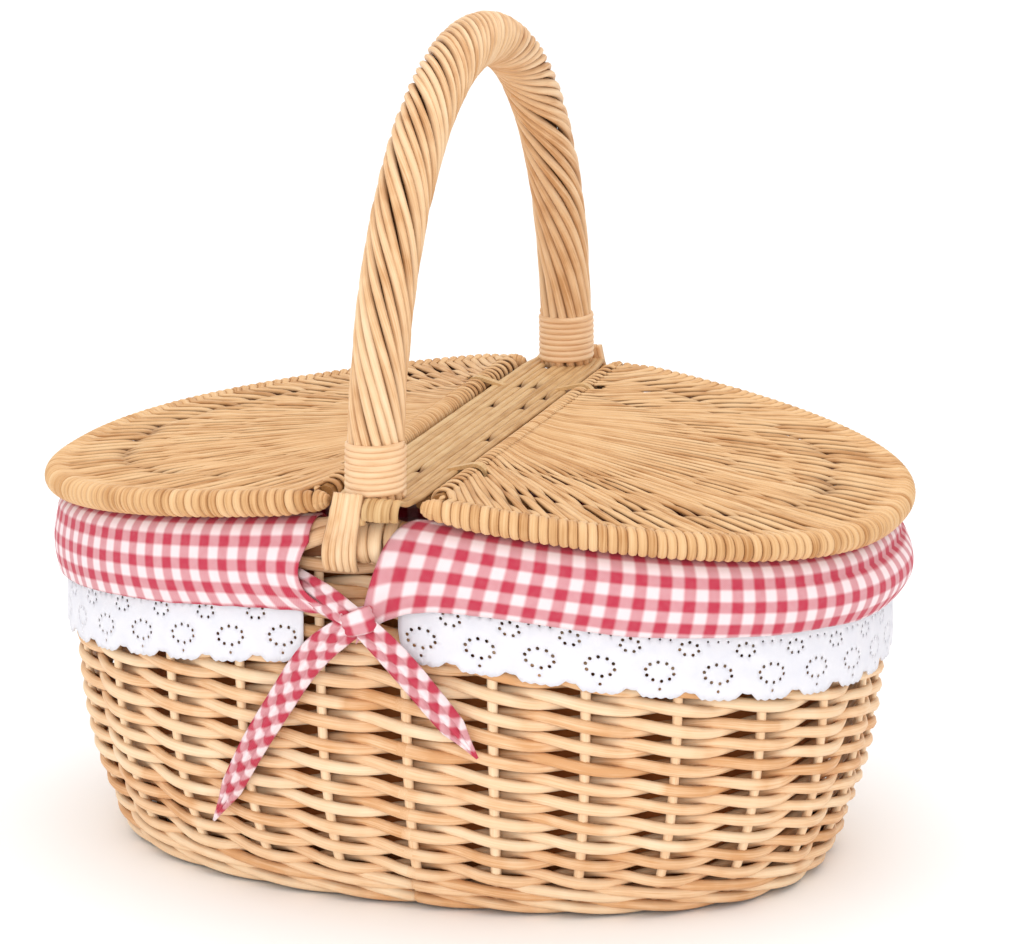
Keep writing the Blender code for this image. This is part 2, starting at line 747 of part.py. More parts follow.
clear_scene()
basket = bpy.data.collections.new("pie_basket")
bpy.context.scene.collection.children.link(basket)
cutters = bpy.data.collections.new("cutters")
bpy.context.scene.collection.children.link(cutters)
make_foot()
make_side()
make_rim()
make_handle()
make_bindings()
make_foot_rods()
make_bridge()
make_hinge_loops()
make_lid("right", Matrix.Identity(4))
make_lid("left", HALF_TURN)
make_bag()
make_flaps()
make_ties()
print("hinge axis: x", round(hinge_x, 5), "z", round(hinge_height, 5), "stand", round(lid_stand, 5))
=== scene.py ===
# %% [markdown]
# # A willow pie basket
# A lidded picnic basket is made of three things: peeled willow rods, a little cane, and cotton.
# This notebook dresses a plain solid model of one. The solids say where each piece is and how
# big it is. The cells below weave the rods, wind the handle and hang the cloth on that frame.

import json
import math

import bpy
import numpy as np
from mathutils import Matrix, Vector
from mathutils.geometry import delaunay_2d_cdt


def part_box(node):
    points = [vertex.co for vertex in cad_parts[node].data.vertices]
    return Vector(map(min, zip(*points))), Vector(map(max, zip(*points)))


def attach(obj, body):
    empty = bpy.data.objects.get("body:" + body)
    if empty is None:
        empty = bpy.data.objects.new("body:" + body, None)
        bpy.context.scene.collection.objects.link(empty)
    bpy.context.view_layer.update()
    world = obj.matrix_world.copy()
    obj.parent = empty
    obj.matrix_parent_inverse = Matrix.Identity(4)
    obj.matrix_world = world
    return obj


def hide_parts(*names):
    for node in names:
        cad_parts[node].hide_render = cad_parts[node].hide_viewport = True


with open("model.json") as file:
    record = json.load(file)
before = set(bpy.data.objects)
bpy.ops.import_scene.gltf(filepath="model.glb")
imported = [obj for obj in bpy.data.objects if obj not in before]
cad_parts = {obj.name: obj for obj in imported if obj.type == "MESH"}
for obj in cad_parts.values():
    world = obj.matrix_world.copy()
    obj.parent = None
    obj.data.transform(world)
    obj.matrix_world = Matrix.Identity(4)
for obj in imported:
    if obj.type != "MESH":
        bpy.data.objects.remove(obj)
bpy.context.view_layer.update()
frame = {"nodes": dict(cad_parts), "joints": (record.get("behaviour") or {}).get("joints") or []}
rng = np.random.default_rng(seed=7)
mm = 0.001

# %% [markdown]
# ## Reading sizes off the frame
# Each size below comes from the box of a solid, so the looks fit it. What a box can't say is
# written as a number: how steeply the rim falls from its level middle, how full the oval is, how
# far and how suddenly the side draws in towards the foot, and where the first stake stands.

# %% Sizes of the basket
side_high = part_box("side_weave")[1]
rim_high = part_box("rim_border")[1]
wrap_low, wrap_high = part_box("handle_wrap")
bag_low, bag_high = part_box("liner_bag")
lid_joint = next(joint for joint in frame["joints"] if joint["child"] == "right_lid")
hinge_x, hinge_height = lid_joint["pos_m"][0], lid_joint["pos_m"][2]
rim_radius = 9 * mm
rim_mid_height = rim_high.z - rim_radius
rim_half_length = rim_high.x - rim_radius
rim_half_width = rim_high.y - rim_radius
rim_droop = 0.135
level_half = 18.5 * mm
foot_inset = 26 * mm
foot_roundness = 4.3
oval_fullness = 2.32
stake_count = 26
stake_phase = 0.265
side_half_length = side_high.x
side_half_width = side_high.y
handle_radius = wrap_high.x
handle_half_span = wrap_high.y - handle_radius
handle_bottom = wrap_low.z
handle_spring = handle_bottom + 4.7 * mm
handle_rise = wrap_high.z - handle_radius - handle_spring
print("side", round(side_half_length / mm, 1), "by", round(side_half_width / mm, 1), "mm half sizes")

# %% [markdown]
# ## Small helpers
# Blender wants linear colours, while people read colours as sRGB hex codes. Shader nodes need a
# lot of typing. So one function turns a hex code to linear, and one adds a node with its settings
# and gives back the output that is wanted. The last one puts a thing in the scene.


# %% Colour, node and scene helpers


def linear(hex_code):
    """An sRGB hex colour as linear red, green, blue and alpha."""
    parts = [int(hex_code[place:place + 2], 16) / 255 for place in (1, 3, 5)]
    return (*[part / 12.92 if part <= 0.04045 else ((part + 0.055) / 1.055) ** 2.4 for part in parts], 1)


def fill(tree, node, inputs):
    """Set a node's inputs. Each is a plain value or another node's output socket."""
    for socket, value in inputs.items():
        if isinstance(value, bpy.types.NodeSocket):
            tree.links.new(value, node.inputs[socket])
        else:
            node.inputs[socket].default_value = value


def add_node(tree, kind, inputs, wanted=0, **settings):
    """Add a shader node, and return the wanted one of its outputs."""
    node = tree.nodes.new("ShaderNode" + kind)
    for name, value in settings.items():
        setattr(node, name, value)
    fill(tree, node, inputs)
    return node.outputs[wanted]


def empty_material(name):
    """A material with a Principled shader, and the tree to fill in."""
    material = bpy.data.materials.new(name)
    material.use_nodes = True
    return material, material.node_tree, material.node_tree.nodes["Principled BSDF"]


def put_in_scene(name, data):
    """An object that shows some data, linked to the scene."""
    thing = bpy.data.objects.new(name, data)
    bpy.context.scene.collection.objects.link(thing)
    return thing


# %% [markdown]
# ## Peeled willow
# Willow rods are boiled, peeled and dried, which leaves a satin skin the colour of honey. Along a
# rod run fine pale and dark fibres, and no two rods are alike. Every rod in this file carries two
# things on its points: `fibre`, a place along and round the rod in metres, and `tone`, one random
# number for each rod. The fibres are noise that is squeezed hard across the rod. A third value,
# `shade`, is painted shade: it mixes in a dark brown where a rod dives into the weave, in the groove
# between two rods that lie side by side, and where a rod lies under or behind others.
# Wood has an IOR near 1.5, and the smooth skin gives a roughness a little under one half.

# %% Willow material
fibre_width = 0.7 * mm
fibre_length = 22 * mm
stain_size, stain_width = 16 * mm, 25.6 * mm
tone_share, blotch_share, streak_share = 0.42, 0.5, 0.6
pale_place, honey_place, dark_place = 0.40, 0.74, 1.0
# The dark brown of the painted shade in crevices and grooves.
painted_shade_brown = "#5E3216"


def willow(name, light, middle, dark, roughness):
    """Peeled willow between three tones of honey."""
    material, tree, shader = empty_material(name)
    fibre = add_node(tree, "Attribute", {}, "Vector", attribute_name="fibre")
    tone = add_node(tree, "Attribute", {}, "Fac", attribute_name="tone")
    shade = add_node(tree, "Attribute", {}, "Fac", attribute_name="shade")
    mixed = add_node(tree, "Math", {0: tone, 1: tone_share}, operation="MULTIPLY")
    noises = []
    for along, across, detail, share in ((fibre_length, fibre_width, 3.0, streak_share),
                                         (stain_size, stain_width, 2.0, blotch_share)):
        scale = (1 / along, 1 / across, 1 / across)
        place = add_node(tree, "VectorMath", {0: fibre, 1: scale}, operation="MULTIPLY")
        noises.append(add_node(tree, "TexNoise", {"Vector": place, "Scale": 1.0, "Detail": detail}, "Fac"))
        mixed = add_node(tree, "Math", {0: noises[-1], 1: share, 2: mixed}, operation="MULTIPLY_ADD")
    honey = add_node(tree, "ValToRGB", {"Fac": mixed})
    tones = honey.node.color_ramp.elements
    tones[0].position, tones[0].color = pale_place, linear(light)
    tones[1].position, tones[1].color = dark_place, linear(dark)
    tones.new(honey_place).color = linear(middle)
    # The shade value mixes the painted shade brown into the honey.
    deep = add_node(tree, "Mix", {0: shade, 6: honey, 7: linear(painted_shade_brown)}, 2, data_type="RGBA")
    fill(tree, shader, {
        "Base Color": deep,
        "Roughness": add_node(tree, "MapRange", {
            "Value": noises[0], "To Min": roughness - 0.07, "To Max": roughness + 0.12}),
        "Normal": add_node(tree, "Bump", {"Height": noises[0], "Strength": 0.5, "Distance": 0.12 * mm}),
        "IOR": 1.5, "Specular IOR Level": 0.3})
    return material


weave_willow = willow("peeled_willow_weave", "#FBE3C0", "#F3CBA0", "#DCA470", 0.5)
lid_willow = willow("split_willow_lid", "#EECA9B", "#DFB17D", "#B9824C", 0.5)
bridge_willow = willow("greyed_willow_bridge", "#E2C393", "#D2A976", "#B28552", 0.55)
handle_willow = willow("peeled_willow_handle", "#F8DCB6", "#EDC496", "#C88F58", 0.46)
# The ribs and hoop under a lid's strands take a darker copy of the willow, as painted shade.
inner_willow = willow("shaded_willow_rods", "#DDB07A", "#C0884C", "#8A5526", 0.55)
cane = willow("flat_cane", "#F8DAB2", "#EEC59A", "#D09F6C", 0.48)

# %% [markdown]
# ## Red gingham
# Gingham is plain cotton woven from bands of red and white thread. Where a red band crosses a red
# band the cloth is full red, where red crosses white the eye sees pink, and white on white stays
# white. So the pattern is two sets of stripes, a and b. Pink cotton looks nearer to red than to
# white, so one stripe alone counts for two thirds, and a + b is cut back where they cross. The
# cloth's UV map is in metres, so a band of 5 mm stays 5 mm on the folds. Real threads are
# 0.3 mm apart, too fine to show here, so they are drawn 0.9 mm apart. Cotton is matt: roughness
# near 0.9, and some sheen from its fluff.

# %% Gingham material
check_size = 5.0 * mm
thread_spacing = 0.9 * mm
pink_share = 0.62
edge_softness = 0.38
thread_share, grain_share, least_red = 0.05, -0.16, 0.07


def gingham(name, red, white):
    """Checked cotton, mapped in metres."""
    material, tree, shader = empty_material(name)
    place = add_node(tree, "UVMap", {}, uv_map="cloth")
    bands, threads = [], []
    for axis in "XY":
        along = add_node(tree, "SeparateXYZ", {0: place}, axis)
        waves = []
        for repeat in (2 * check_size, thread_spacing):
            turn = add_node(tree, "Math", {0: along, 1: math.tau / repeat}, operation="MULTIPLY")
            waves.append(add_node(tree, "Math", {0: turn}, operation="SINE"))
        bands.append(add_node(tree, "MapRange", {
            "Value": waves[0], "From Min": -edge_softness, "From Max": edge_softness}))
        threads.append(waves[1])
    both, weave = [add_node(tree, "Math", {0: pair[0], 1: pair[1]}, operation="MULTIPLY")
                   for pair in (bands, threads)]
    either = add_node(tree, "Math", {0: bands[0], 1: bands[1]}, operation="ADD")
    grain = add_node(tree, "TexNoise", {"Vector": place, "Scale": 1 / (3 * mm), "Detail": 3.0}, "Fac")
    redness = least_red
    for part, share in ((either, pink_share), (both, 1 - 2 * pink_share), (weave, thread_share),
                        (grain, grain_share)):
        redness = add_node(tree, "Math", {0: part, 1: share, 2: redness}, operation="MULTIPLY_ADD")
    redness.node.use_clamp = True
    colour = add_node(tree, "Mix", {0: redness, 6: linear(white), 7: linear(red)}, 2, data_type="RGBA")
    fill(tree, shader, {
        "Base Color": colour,
        "Normal": add_node(tree, "Bump", {"Height": weave, "Strength": 0.25, "Distance": 0.12 * mm}),
        "Roughness": 0.88, "Sheen Weight": 0.12, "Specular IOR Level": 0.2})
    return material


red_gingham = gingham("red_gingham_cotton", "#C0384E", "#F5E0E2")

# %% [markdown]
# ## White lace and a backing of painted shade
# Broderie anglaise is white cotton with real holes, each whipped round with thread. The holes are
# cut in the mesh further down. The cloth itself is bright, matt and a touch cool. The lining's
# outer side, which lies against the willow, is a brown sheet of painted shade: it stands for the
# shadow in the gaps of the weave and makes them look deep.
# One recipe makes every plain stuff, the bars and the studio's paper too: a soft cloud of two
# tones and a fine bump. Cloth reads its map, and a stuff without a map its place in space.


# %% Plain cottons


def two_tones(name, light, dark, sizes, bump, finish, in_space=False, detail=3.0):
    """A plain stuff. The sizes are those of its cloud and of its bumps, along three axes."""
    material, tree, shader = empty_material(name)
    if in_space:
        place = add_node(tree, "TexCoord", {}, "Object")
    else:
        place = add_node(tree, "UVMap", {}, uv_map="cloth")
    noises = []
    for size in sizes:
        scale = [1 / side for side in size]
        near = add_node(tree, "VectorMath", {0: place, 1: scale}, operation="MULTIPLY")
        noises.append(add_node(tree, "TexNoise", {"Vector": near, "Scale": 1.0, "Detail": detail}, "Fac"))
    colour = add_node(tree, "Mix", {0: noises[0], 6: linear(light), 7: linear(dark)}, 2, data_type="RGBA")
    fill(tree, shader, {"Base Color": colour, **finish})
    if bump:
        strength, depth = bump
        height = {"Height": noises[-1], "Strength": strength, "Distance": depth}
        fill(tree, shader, {"Normal": add_node(tree, "Bump", height)})
    return material


cotton = {"sizes": [(9 * mm,) * 3, (0.8 * mm,) * 3], "bump": (0.5, 0.2 * mm),
          "finish": {"Roughness": 0.9, "Sheen Weight": 0.1, "Specular IOR Level": 0.2}}
white_lace = two_tones("white_eyelet_cotton", "#F0EEF1", "#DDDDE6", **cotton)
# The backing is painted shade: a brown sheet that darkens the gaps of the weave.
painted_shade_backing = two_tones("painted_shade_backing_cloth", "#CE8244", "#A86030", **cotton)

# %% [markdown]
# ## Making rods
# Almost everything here is a rod that follows some line, so one function lays rods. A rod has an
# oval section: its half width lies across the surface that it runs on, and its half height stands
# up from that surface. NumPy works out all rods of a piece at once, which keeps this fast.
# `groove` paints shade on the two flanks of a rod, where it touches its neighbours, and `turn` carries a
# piece to the other side of the basket.


# %% Rod and sheet builders


def unit(vectors):
    """Vectors of length one."""
    return vectors / np.maximum(np.linalg.norm(vectors, axis=-1, keepdims=True), 1e-12)


def join(*axes):
    """Points from their x, y and z, or places on a cloth from two of these."""
    return np.stack(np.broadcast_arrays(*axes), -1)


def dress(name, mesh, material, body, stands_for=()):
    """Put a mesh in the scene as one piece that rides on a body."""
    piece = put_in_scene(name, mesh)
    mesh.materials.append(material)
    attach(piece, body)
    if stands_for:
        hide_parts(*stands_for)
    return piece


def mesh_of_quads(name, points, quads):
    """A smooth mesh from arrays of points and four-sided faces."""
    mesh = bpy.data.meshes.new(name)
    mesh.vertices.add(len(points))
    mesh.vertices.foreach_set("co", points.astype(np.float32).ravel())
    mesh.loops.add(quads.size)
    mesh.loops.foreach_set("vertex_index", quads.astype(np.int32).ravel())
    mesh.polygons.add(len(quads))
    mesh.polygons.foreach_set("loop_start", np.arange(len(quads), dtype=np.int32) * 4)
    mesh.update(calc_edges=True)
    mesh.shade_smooth()
    return mesh


def put_values(mesh, name, kind, values):
    """Store one value for each point of a mesh."""
    layer = mesh.attributes.new(name, kind, "POINT")
    field = "vector" if kind == "FLOAT_VECTOR" else "value"
    layer.data.foreach_set(field, values.astype(np.float32).ravel())


def carry(points, turn):
    """Points or directions carried to the other side of the basket, if there is a turn."""
    return points if turn is None else points @ turn.T


def lay_rods(name, material, slot, nodes, lines, normals, half_width, half_height, tones, shades=0.0,
             groove=0.0, sides=8, closed=False, turn=None, body="root"):
    """Oval rods along lines, an array of rods by steps by three, as one piece that stands for nodes."""
    lines, normals = [carry(np.asarray(given, float), turn) for given in (lines, normals)]
    count, steps = lines.shape[:2]
    if closed:
        runs = np.roll(lines, -1, axis=1) - np.roll(lines, 1, axis=1)
    else:
        runs = np.gradient(lines, axis=1)
    runs = unit(runs)
    across = unit(np.cross(runs, np.broadcast_to(normals, lines.shape)))
    up = np.cross(across, runs)
    round_rod = np.arange(sides) * math.tau / sides
    sideways, upwards = np.cos(round_rod), np.sin(round_rod)
    wide = np.broadcast_to(half_width, (count, steps))[..., None, None]
    tall = np.broadcast_to(half_height, (count, steps))[..., None, None]
    ring = across[:, :, None] * wide * sideways[:, None] + up[:, :, None] * tall * upwards[:, None]
    points = lines[:, :, None] + ring
    index = np.arange(count * steps * sides).reshape(count, steps, sides)
    ahead = np.roll(index, -1, axis=1) if closed else index[:, 1:]
    here = index if closed else index[:, :-1]
    quads = np.stack([here, ahead, np.roll(ahead, -1, axis=2), np.roll(here, -1, axis=2)], axis=-1)
    quads = quads.reshape(-1, 4)
    if not closed:
        rung = np.arange(sides // 2 - 1)
        ladder = np.stack([rung, rung + 1, sides - 2 - rung, sides - 1 - rung], axis=-1)
        start = index[:, 0][:, ladder].reshape(-1, 4)
        stop = index[:, -1][:, ladder[:, ::-1]].reshape(-1, 4)
        quads = np.concatenate([quads, start, stop])
    mesh = mesh_of_quads(name, points.reshape(-1, 3), quads)
    lengths = travel(lines, 1)
    if np.ndim(tones) < 2:
        tones = np.broadcast_to(tones, (count,))[:, None]
    fibre = np.empty((count, steps, sides, 3))
    fibre[..., 0] = (lengths + np.arange(count)[:, None] * fibre_shift)[..., None]
    fibre[..., 1] = wide[..., 0] * sideways
    fibre[..., 2] = tall[..., 0] * upwards
    # Painted shade: the shades along each rod, and the groove's shade on its two flanks.
    dark = np.broadcast_to(shades, (count, steps))[..., None] + groove * np.abs(sideways) ** 5
    put_values(mesh, "fibre", "FLOAT_VECTOR", fibre)
    put_values(mesh, "tone", "FLOAT", np.broadcast_to(tones[..., None], (count, steps, sides)))
    put_values(mesh, "shade", "FLOAT", np.clip(dark, 0, 1))
    return dress(name, mesh, material, body, nodes)


def skin_sheet(name, grid):
    """A sheet from a grid of points."""
    rows, columns = grid.shape[:2]
    index = np.arange(rows * columns).reshape(rows, columns)
    quads = np.stack([index[:-1, :-1], index[1:, :-1], index[1:, 1:], index[:-1, 1:]], axis=-1)
    return mesh_of_quads(name, grid.reshape(-1, 3), quads.reshape(-1, 4))


def map_cloth(mesh, places):
    """Give a sheet its cloth map: one place in metres for each point."""
    layer = mesh.uv_layers.new(name="cloth")
    corners = np.empty(len(mesh.loops), dtype=np.int32)
    mesh.loops.foreach_get("vertex_index", corners)
    layer.data.foreach_set("uv", places.reshape(-1, 2)[corners].astype(np.float32).ravel())


cloth_thickness = 0.9 * mm


def sew(mesh, places, node, material=red_gingham, thickness=cloth_thickness,
        other_side=None):
    """Map a cloth, dress it for a node and give it its thickness."""
    map_cloth(mesh, places)
    piece = dress(mesh.name, mesh, material, "root", [node])
    wall = piece.modifiers.new("cloth_thickness", "SOLIDIFY")
    wall.thickness = thickness
    wall.offset = 0.0
    wall.use_even_offset = False
    if other_side:
        mesh.materials.append(other_side)
        wall.material_offset = 1
    return piece


def travel(points, axis=0):
    """How far each point lies from the first one along a line."""
    start = np.take(points, [0], axis=axis)
    return np.linalg.norm(np.diff(points, axis=axis, prepend=start), axis=-1).cumsum(axis=axis)


def smooth_step(value, low, high):
    """0 below low, 1 above high, and an easy curve between."""
    share = np.clip((value - low) / (high - low), 0, 1)
    return share * share * (3 - 2 * share)


def bell(away, width):
    """1 at the place itself, and less and less away from it."""
    return np.exp(-(away / width) ** 2)


def fade(away, width):
    """1 at an end, and less and less away from it."""
    return np.exp(-away / width)


fibre_shift = 0.37
half_turn = np.diag([-1.0, -1.0, 1.0])
both_sides = (("right", None), ("left", half_turn))
both_ends = (("front", None), ("back", half_turn))

# %% [markdown]
# ## The oval
# Seen from above, the basket is an ellipse with slightly square shoulders. The stakes stand evenly
# along it, so a place along the side is counted in stakes: 0 is the first stake right of the middle
# of the front, and 26 comes back to it.

# %% Places on the side
fine_angles = np.linspace(-math.pi / 2, 1.5 * math.pi, 4001)


def oval(half_length, half_width, angle):
    """Points of the oval at an angle, as x and y."""
    power = 2 / oval_fullness
    along, across = np.cos(angle), np.sin(angle)
    return (np.sign(along) * np.abs(along) ** power * half_length,
            np.sign(across) * np.abs(across) ** power * half_width)


def oval_reach(half_length, half_width, x):
    """Half of the oval's width at a place along it."""
    return half_width * (1 - (np.abs(x) / half_length) ** oval_fullness) ** (1 / oval_fullness)


fine_x, fine_y = oval(side_half_length, side_half_width, fine_angles)
travelled = travel(join(fine_x, fine_y))
stake_spacing = travelled[-1] / stake_count


def wall_angle(place):
    """The oval's angle at a place counted in stakes."""
    return np.interp(((place + stake_phase) % stake_count) * stake_spacing, travelled, fine_angles)


def rim_height(x):
    """Height of the rim's middle: level under the bridge, then falling to both ends."""
    return rim_mid_height - rim_droop * (np.hypot(x, level_half) - level_half)


def rim_height_at(place):
    """The same height at a place counted in stakes."""
    return rim_height(oval(rim_half_length, rim_half_width, wall_angle(place))[0])


def wall_point(place, height, depth):
    """Points of the side at a depth behind its outside, square to its slope."""
    left = np.clip(1 - height / rim_mid_height, 0, None)
    slope = np.arctan(foot_inset * foot_roundness / rim_mid_height * left ** (foot_roundness - 1))
    inward = foot_inset * left ** foot_roundness + depth * np.cos(slope)
    x, y = oval(side_half_length - inward, side_half_width - inward, wall_angle(place))
    return join(x, y, height + depth * np.sin(slope))


def rim_point(place, outward, up):
    """Points beside the rim's middle line."""
    x, y = oval(rim_half_length + outward, rim_half_width + outward, wall_angle(place))
    return join(x, y, rim_height_at(place) + up)


def wall_normal(place, height):
    """Directions that point out of the side."""
    return unit(wall_point(place, height, 0.0) - wall_point(place, height, 4 * mm))


def wander(count, steps, size):
    """Smooth random drift for each of several rods."""
    knots = rng.normal(0, size, (count, max(steps // 12, 3)))
    spread = np.linspace(0, knots.shape[1] - 1, steps)
    return np.stack([np.interp(spread, np.arange(knots.shape[1]), row) for row in knots])


def wander_round(place, size):
    """Random drift that changes from stake to stake and closes on itself."""
    knots = np.resize(rng.normal(0, size, stake_count), stake_count + 1)
    return np.interp(place, np.arange(stake_count + 1), knots)


print("stakes stand", round(stake_spacing / mm, 1), "mm apart")

# %% [markdown]
# ## The twined side
# Each row of the side is a pair of rods that twist round each other, half a turn between stakes.
# At a stake one rod passes in front and one behind. Between stakes they cross, and the rod that
# comes from behind goes over the top. Seen as a curve that is a helix: its depth follows a cosine
# and its height a sine. The helix alone gives the wedges on both sides of a stake their shape; their
# darkness is painted shade, on the rods that lie deep and on the lining's backing. Sizes
# up the side are shares of the row spacing, which is smaller where the rim comes down.

# %% Weave the side
rod_half_depth = 2.1 * mm
twist_depth = 3.5 * mm
middle_share, front_share, twist_share = 0.272, 0.042, 0.238
row_count = 15
steps_per_stake = 10
weave_foot = 17.5 * mm
mid_depth = rod_half_depth + twist_depth + 0.15 * mm
rim_room = 2.9 * mm


def weave_side():
    """Rows of twined rods from the foot to the rim."""
    place = np.arange(stake_count * steps_per_stake) / steps_per_stake
    row_gap = (rim_height_at(place) - rim_radius - rim_room - weave_foot) / (row_count - 1)
    lines, normals, tones, shades, heights = [], [], [], [], []
    for row in range(row_count):
        level = weave_foot + row_gap * row + wander_round(place, 0.25 * mm)
        for strand in range(2):
            turn = math.pi * (place + strand)
            height = level - twist_share * row_gap * (0.94 * np.sin(turn) - 0.06 * np.sin(3 * turn))
            depth = mid_depth - twist_depth * np.cos(turn)
            lines.append(wall_point(place, height, depth))
            normals.append(wall_normal(place, height))
            joins = rng.uniform(0, 1, stake_count // 5 + 1)
            tones.append(joins[((place + rng.uniform(0, 5)) // 5).astype(int) % len(joins)])
            # Rods that lie deep behind the stakes get painted shade, stronger the deeper they lie.
            shades.append(0.35 * np.clip((depth - mid_depth) / twist_depth * 2 - 1, 0, 1))
            size = middle_share + front_share * np.abs(np.cos(turn)) ** 1.5
            heights.append(row_gap * size * (1 + wander_round(place, 0.035)))
    return lay_rods("side_twining", weave_willow, "peeled_willow", ["side_weave"], lines, normals,
                    np.array(heights), rod_half_depth, np.array(tones), np.array(shades), groove=0.2,
                    closed=True)


def stand_stakes():
    """The uprights, each leaning a little."""
    place = np.arange(stake_count, dtype=float)[:, None]
    share = np.linspace(0, 1, 24)[None]
    foot = 5 * mm
    height = foot + share * (rim_height_at(place) - foot)
    lean = share * rng.normal(0, 0.02, stake_count)[:, None]
    lines = wall_point(place + lean, height, mid_depth - 1.7 * mm)
    normals = wall_normal(place + lean, height)
    return lay_rods("upright_stakes", weave_willow, "shaded_willow", ["side_stakes"], lines, normals,
                    2.35 * mm, 1.9 * mm, rng.uniform(0, 0.3, stake_count))


twining = weave_side()
stand_stakes()
print("twined rows:", row_count, "with", len(twining.data.polygons), "faces")

# %% [markdown]
# ## The foot
# The bottom edge is a wale: three rods that each pass in front of two stakes and behind one. It
# is the same helix, with a third of a turn from stake to stake. Inside it lies the floor, woven
# of two rods like the side but flat, round a bundle of straight sticks.

# %% Weave the foot
wale_levels = (5.4 * mm, 12.3 * mm)
wale_half = 2.6 * mm
wale_clearance = 0.15 * mm


def weave_wale():
    """Two rounds of three rods along the bottom edge."""
    place = np.arange(stake_count * 8) / 8
    lines, normals, tones, shades = [], [], [], []
    for level in wale_levels:
        for strand in range(3):
            turn = math.tau * (place + strand) / 3
            height = level - 2.1 * mm * np.sin(turn)
            depth = mid_depth - 0.6 * mm - 3.8 * mm * np.cos(turn)
            line = wall_point(place, np.maximum(height, wale_half + wale_clearance), depth)
            line[..., 2] = np.maximum(line[..., 2] - depth * 0.45, wale_half + wale_clearance)
            lines.append(line)
            normals.append(wall_normal(place, height))
            tones.append(rng.uniform(0, 1, 6)[(place // 5).astype(int)])
            # Painted shade on the rods where they pass behind the stakes.
            shades.append(np.clip(0.8 * (depth - mid_depth) / (4 * mm), 0, 1))
    return lay_rods("foot_wale", weave_willow, "shaded_willow", ["base_wale"], lines, normals, wale_half,
                    2.3 * mm, np.array(tones), np.array(shades), groove=0.3, closed=True)


def weave_floor():
    """Rings of two rods over spokes, round a bundle of straight sticks."""
    mat_low, mat_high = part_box("base_mat")
    half_thick = (mat_high.z - mat_low.z) / 2
    half_rod = 1.7 * mm
    swing = half_thick - half_rod - 0.1 * mm
    ring_gap = 7.4 * mm
    ring_count = int((mat_high.y - 22 * mm) / ring_gap)
    place = np.arange(stake_count * 6) / 6
    lines, tones = [], []
    for ring in range(ring_count):
        inset = half_rod + 0.5 * mm + ring * ring_gap
        for strand in range(2):
            turn = math.pi * (place + strand)
            shift = inset + 1.6 * mm * np.sin(turn)
            x, y = oval(mat_high.x - shift, mat_high.y - shift, wall_angle(place))
            lines.append(join(x, y, half_thick + swing * np.cos(turn)))
            tones.append(rng.uniform(0, 1))
    # The floor's rods get a little painted shade all along, and painted shade in their grooves.
    lay_rods("floor_rings", weave_willow, "shaded_willow", ["base_mat"], lines, (0, 0, 1), 1.9 * mm,
             half_rod, np.array(tones), 0.1, 0.3, closed=True)
    reach = np.linspace(1, 0.12, 10)
    stakes = wall_angle(np.arange(stake_count, dtype=float))
    x, y = oval(mat_high.x - 2 * mm, mat_high.y - 2 * mm, stakes)
    spokes = join(x[:, None] * reach, y[:, None] * reach, half_thick)
    lay_rods("floor_spokes", weave_willow, "shaded_willow", (), spokes, (0, 0, 1), half_rod, 1.3 * mm,
             rng.uniform(0, 1, stake_count), 0.15)
    inset = ring_count * ring_gap
    stick_y = np.arange(inset - mat_high.y, mat_high.y - inset, 5 * mm)
    fallen = (stick_y / (mat_high.y - inset + 8 * mm)) ** 2
    stick_half = (mat_high.x - inset) * np.sqrt(np.clip(1 - fallen, 0.05, 1))
    sticks = join(stick_half[:, None] * np.linspace(-1, 1, 12), stick_y[:, None], half_thick)
    lay_rods("floor_sticks", weave_willow, "shaded_willow", (), sticks, (0, 0, 1), 2.4 * mm, 2.4 * mm,
             rng.uniform(0, 1, len(stick_y)), 0.1, 0.3)
    return ring_count


weave_wale()
print("floor rings:", weave_floor())

# %% [markdown]
# ## The rim
# The stakes' own ends are laid down along the top and plaited into a roll. Five rods that turn
# round one another make that roll well enough, because the cloth hides all but the short stretch
# under the handle.


# %% Plait the rim


def plait_rim():
    """Five rods that turn round one another along the top."""
    place = np.arange(stake_count * 10) / 10
    lines, shades = [], []
    for strand in range(5):
        turn = math.tau * (place / 2.6 + strand / 5)
        lines.append(rim_point(place, 4.9 * mm * np.cos(turn), 4.9 * mm * np.sin(turn)))
        # Painted shade on the rods while they pass round the underside of the roll.
        shades.append(0.05 + 0.9 * smooth_step(-np.sin(turn), 0.1, 0.9))
    return lay_rods("plaited_rim", weave_willow, "peeled_willow", ["rim_border"], lines, (0, 0, 1),
                    3.9 * mm, 3.9 * mm, rng.uniform(0, 1, 5), np.array(shades), closed=True)


plait_rim()

# %% [markdown]
# ## The handle
# A stout rod is bent to an arch, and thin rods are laid round it in a twist. On the real handle
# the twist is lazy at both feet and quick over the top, so the twist angle is read off a short
# table along the arch. Each rod's turn round the arch is that angle added up along the way. A
# steeper rod has less room beside its neighbours, so its width follows the cosine of the angle.

# %% Wind the handle
handle_rods = 15
slant_degrees = (20, 23, 28, 36, 44, 46, 42, 33, 25, 15, 10)
slant_places = [place / 10 for place in range(len(slant_degrees))]
foot_drop = 6 * mm
collar_turns, collar_drop = 8, 5 * mm
handle_rod_half = 2.35 * mm


def handle_arch(share):
    """Middle line of the handle from the front foot to the back foot."""
    turn = math.pi * np.asarray(share)
    y = -handle_half_span * np.cos(turn)
    z = handle_spring + handle_rise * np.sin(turn)
    return join(0.0, y, z)


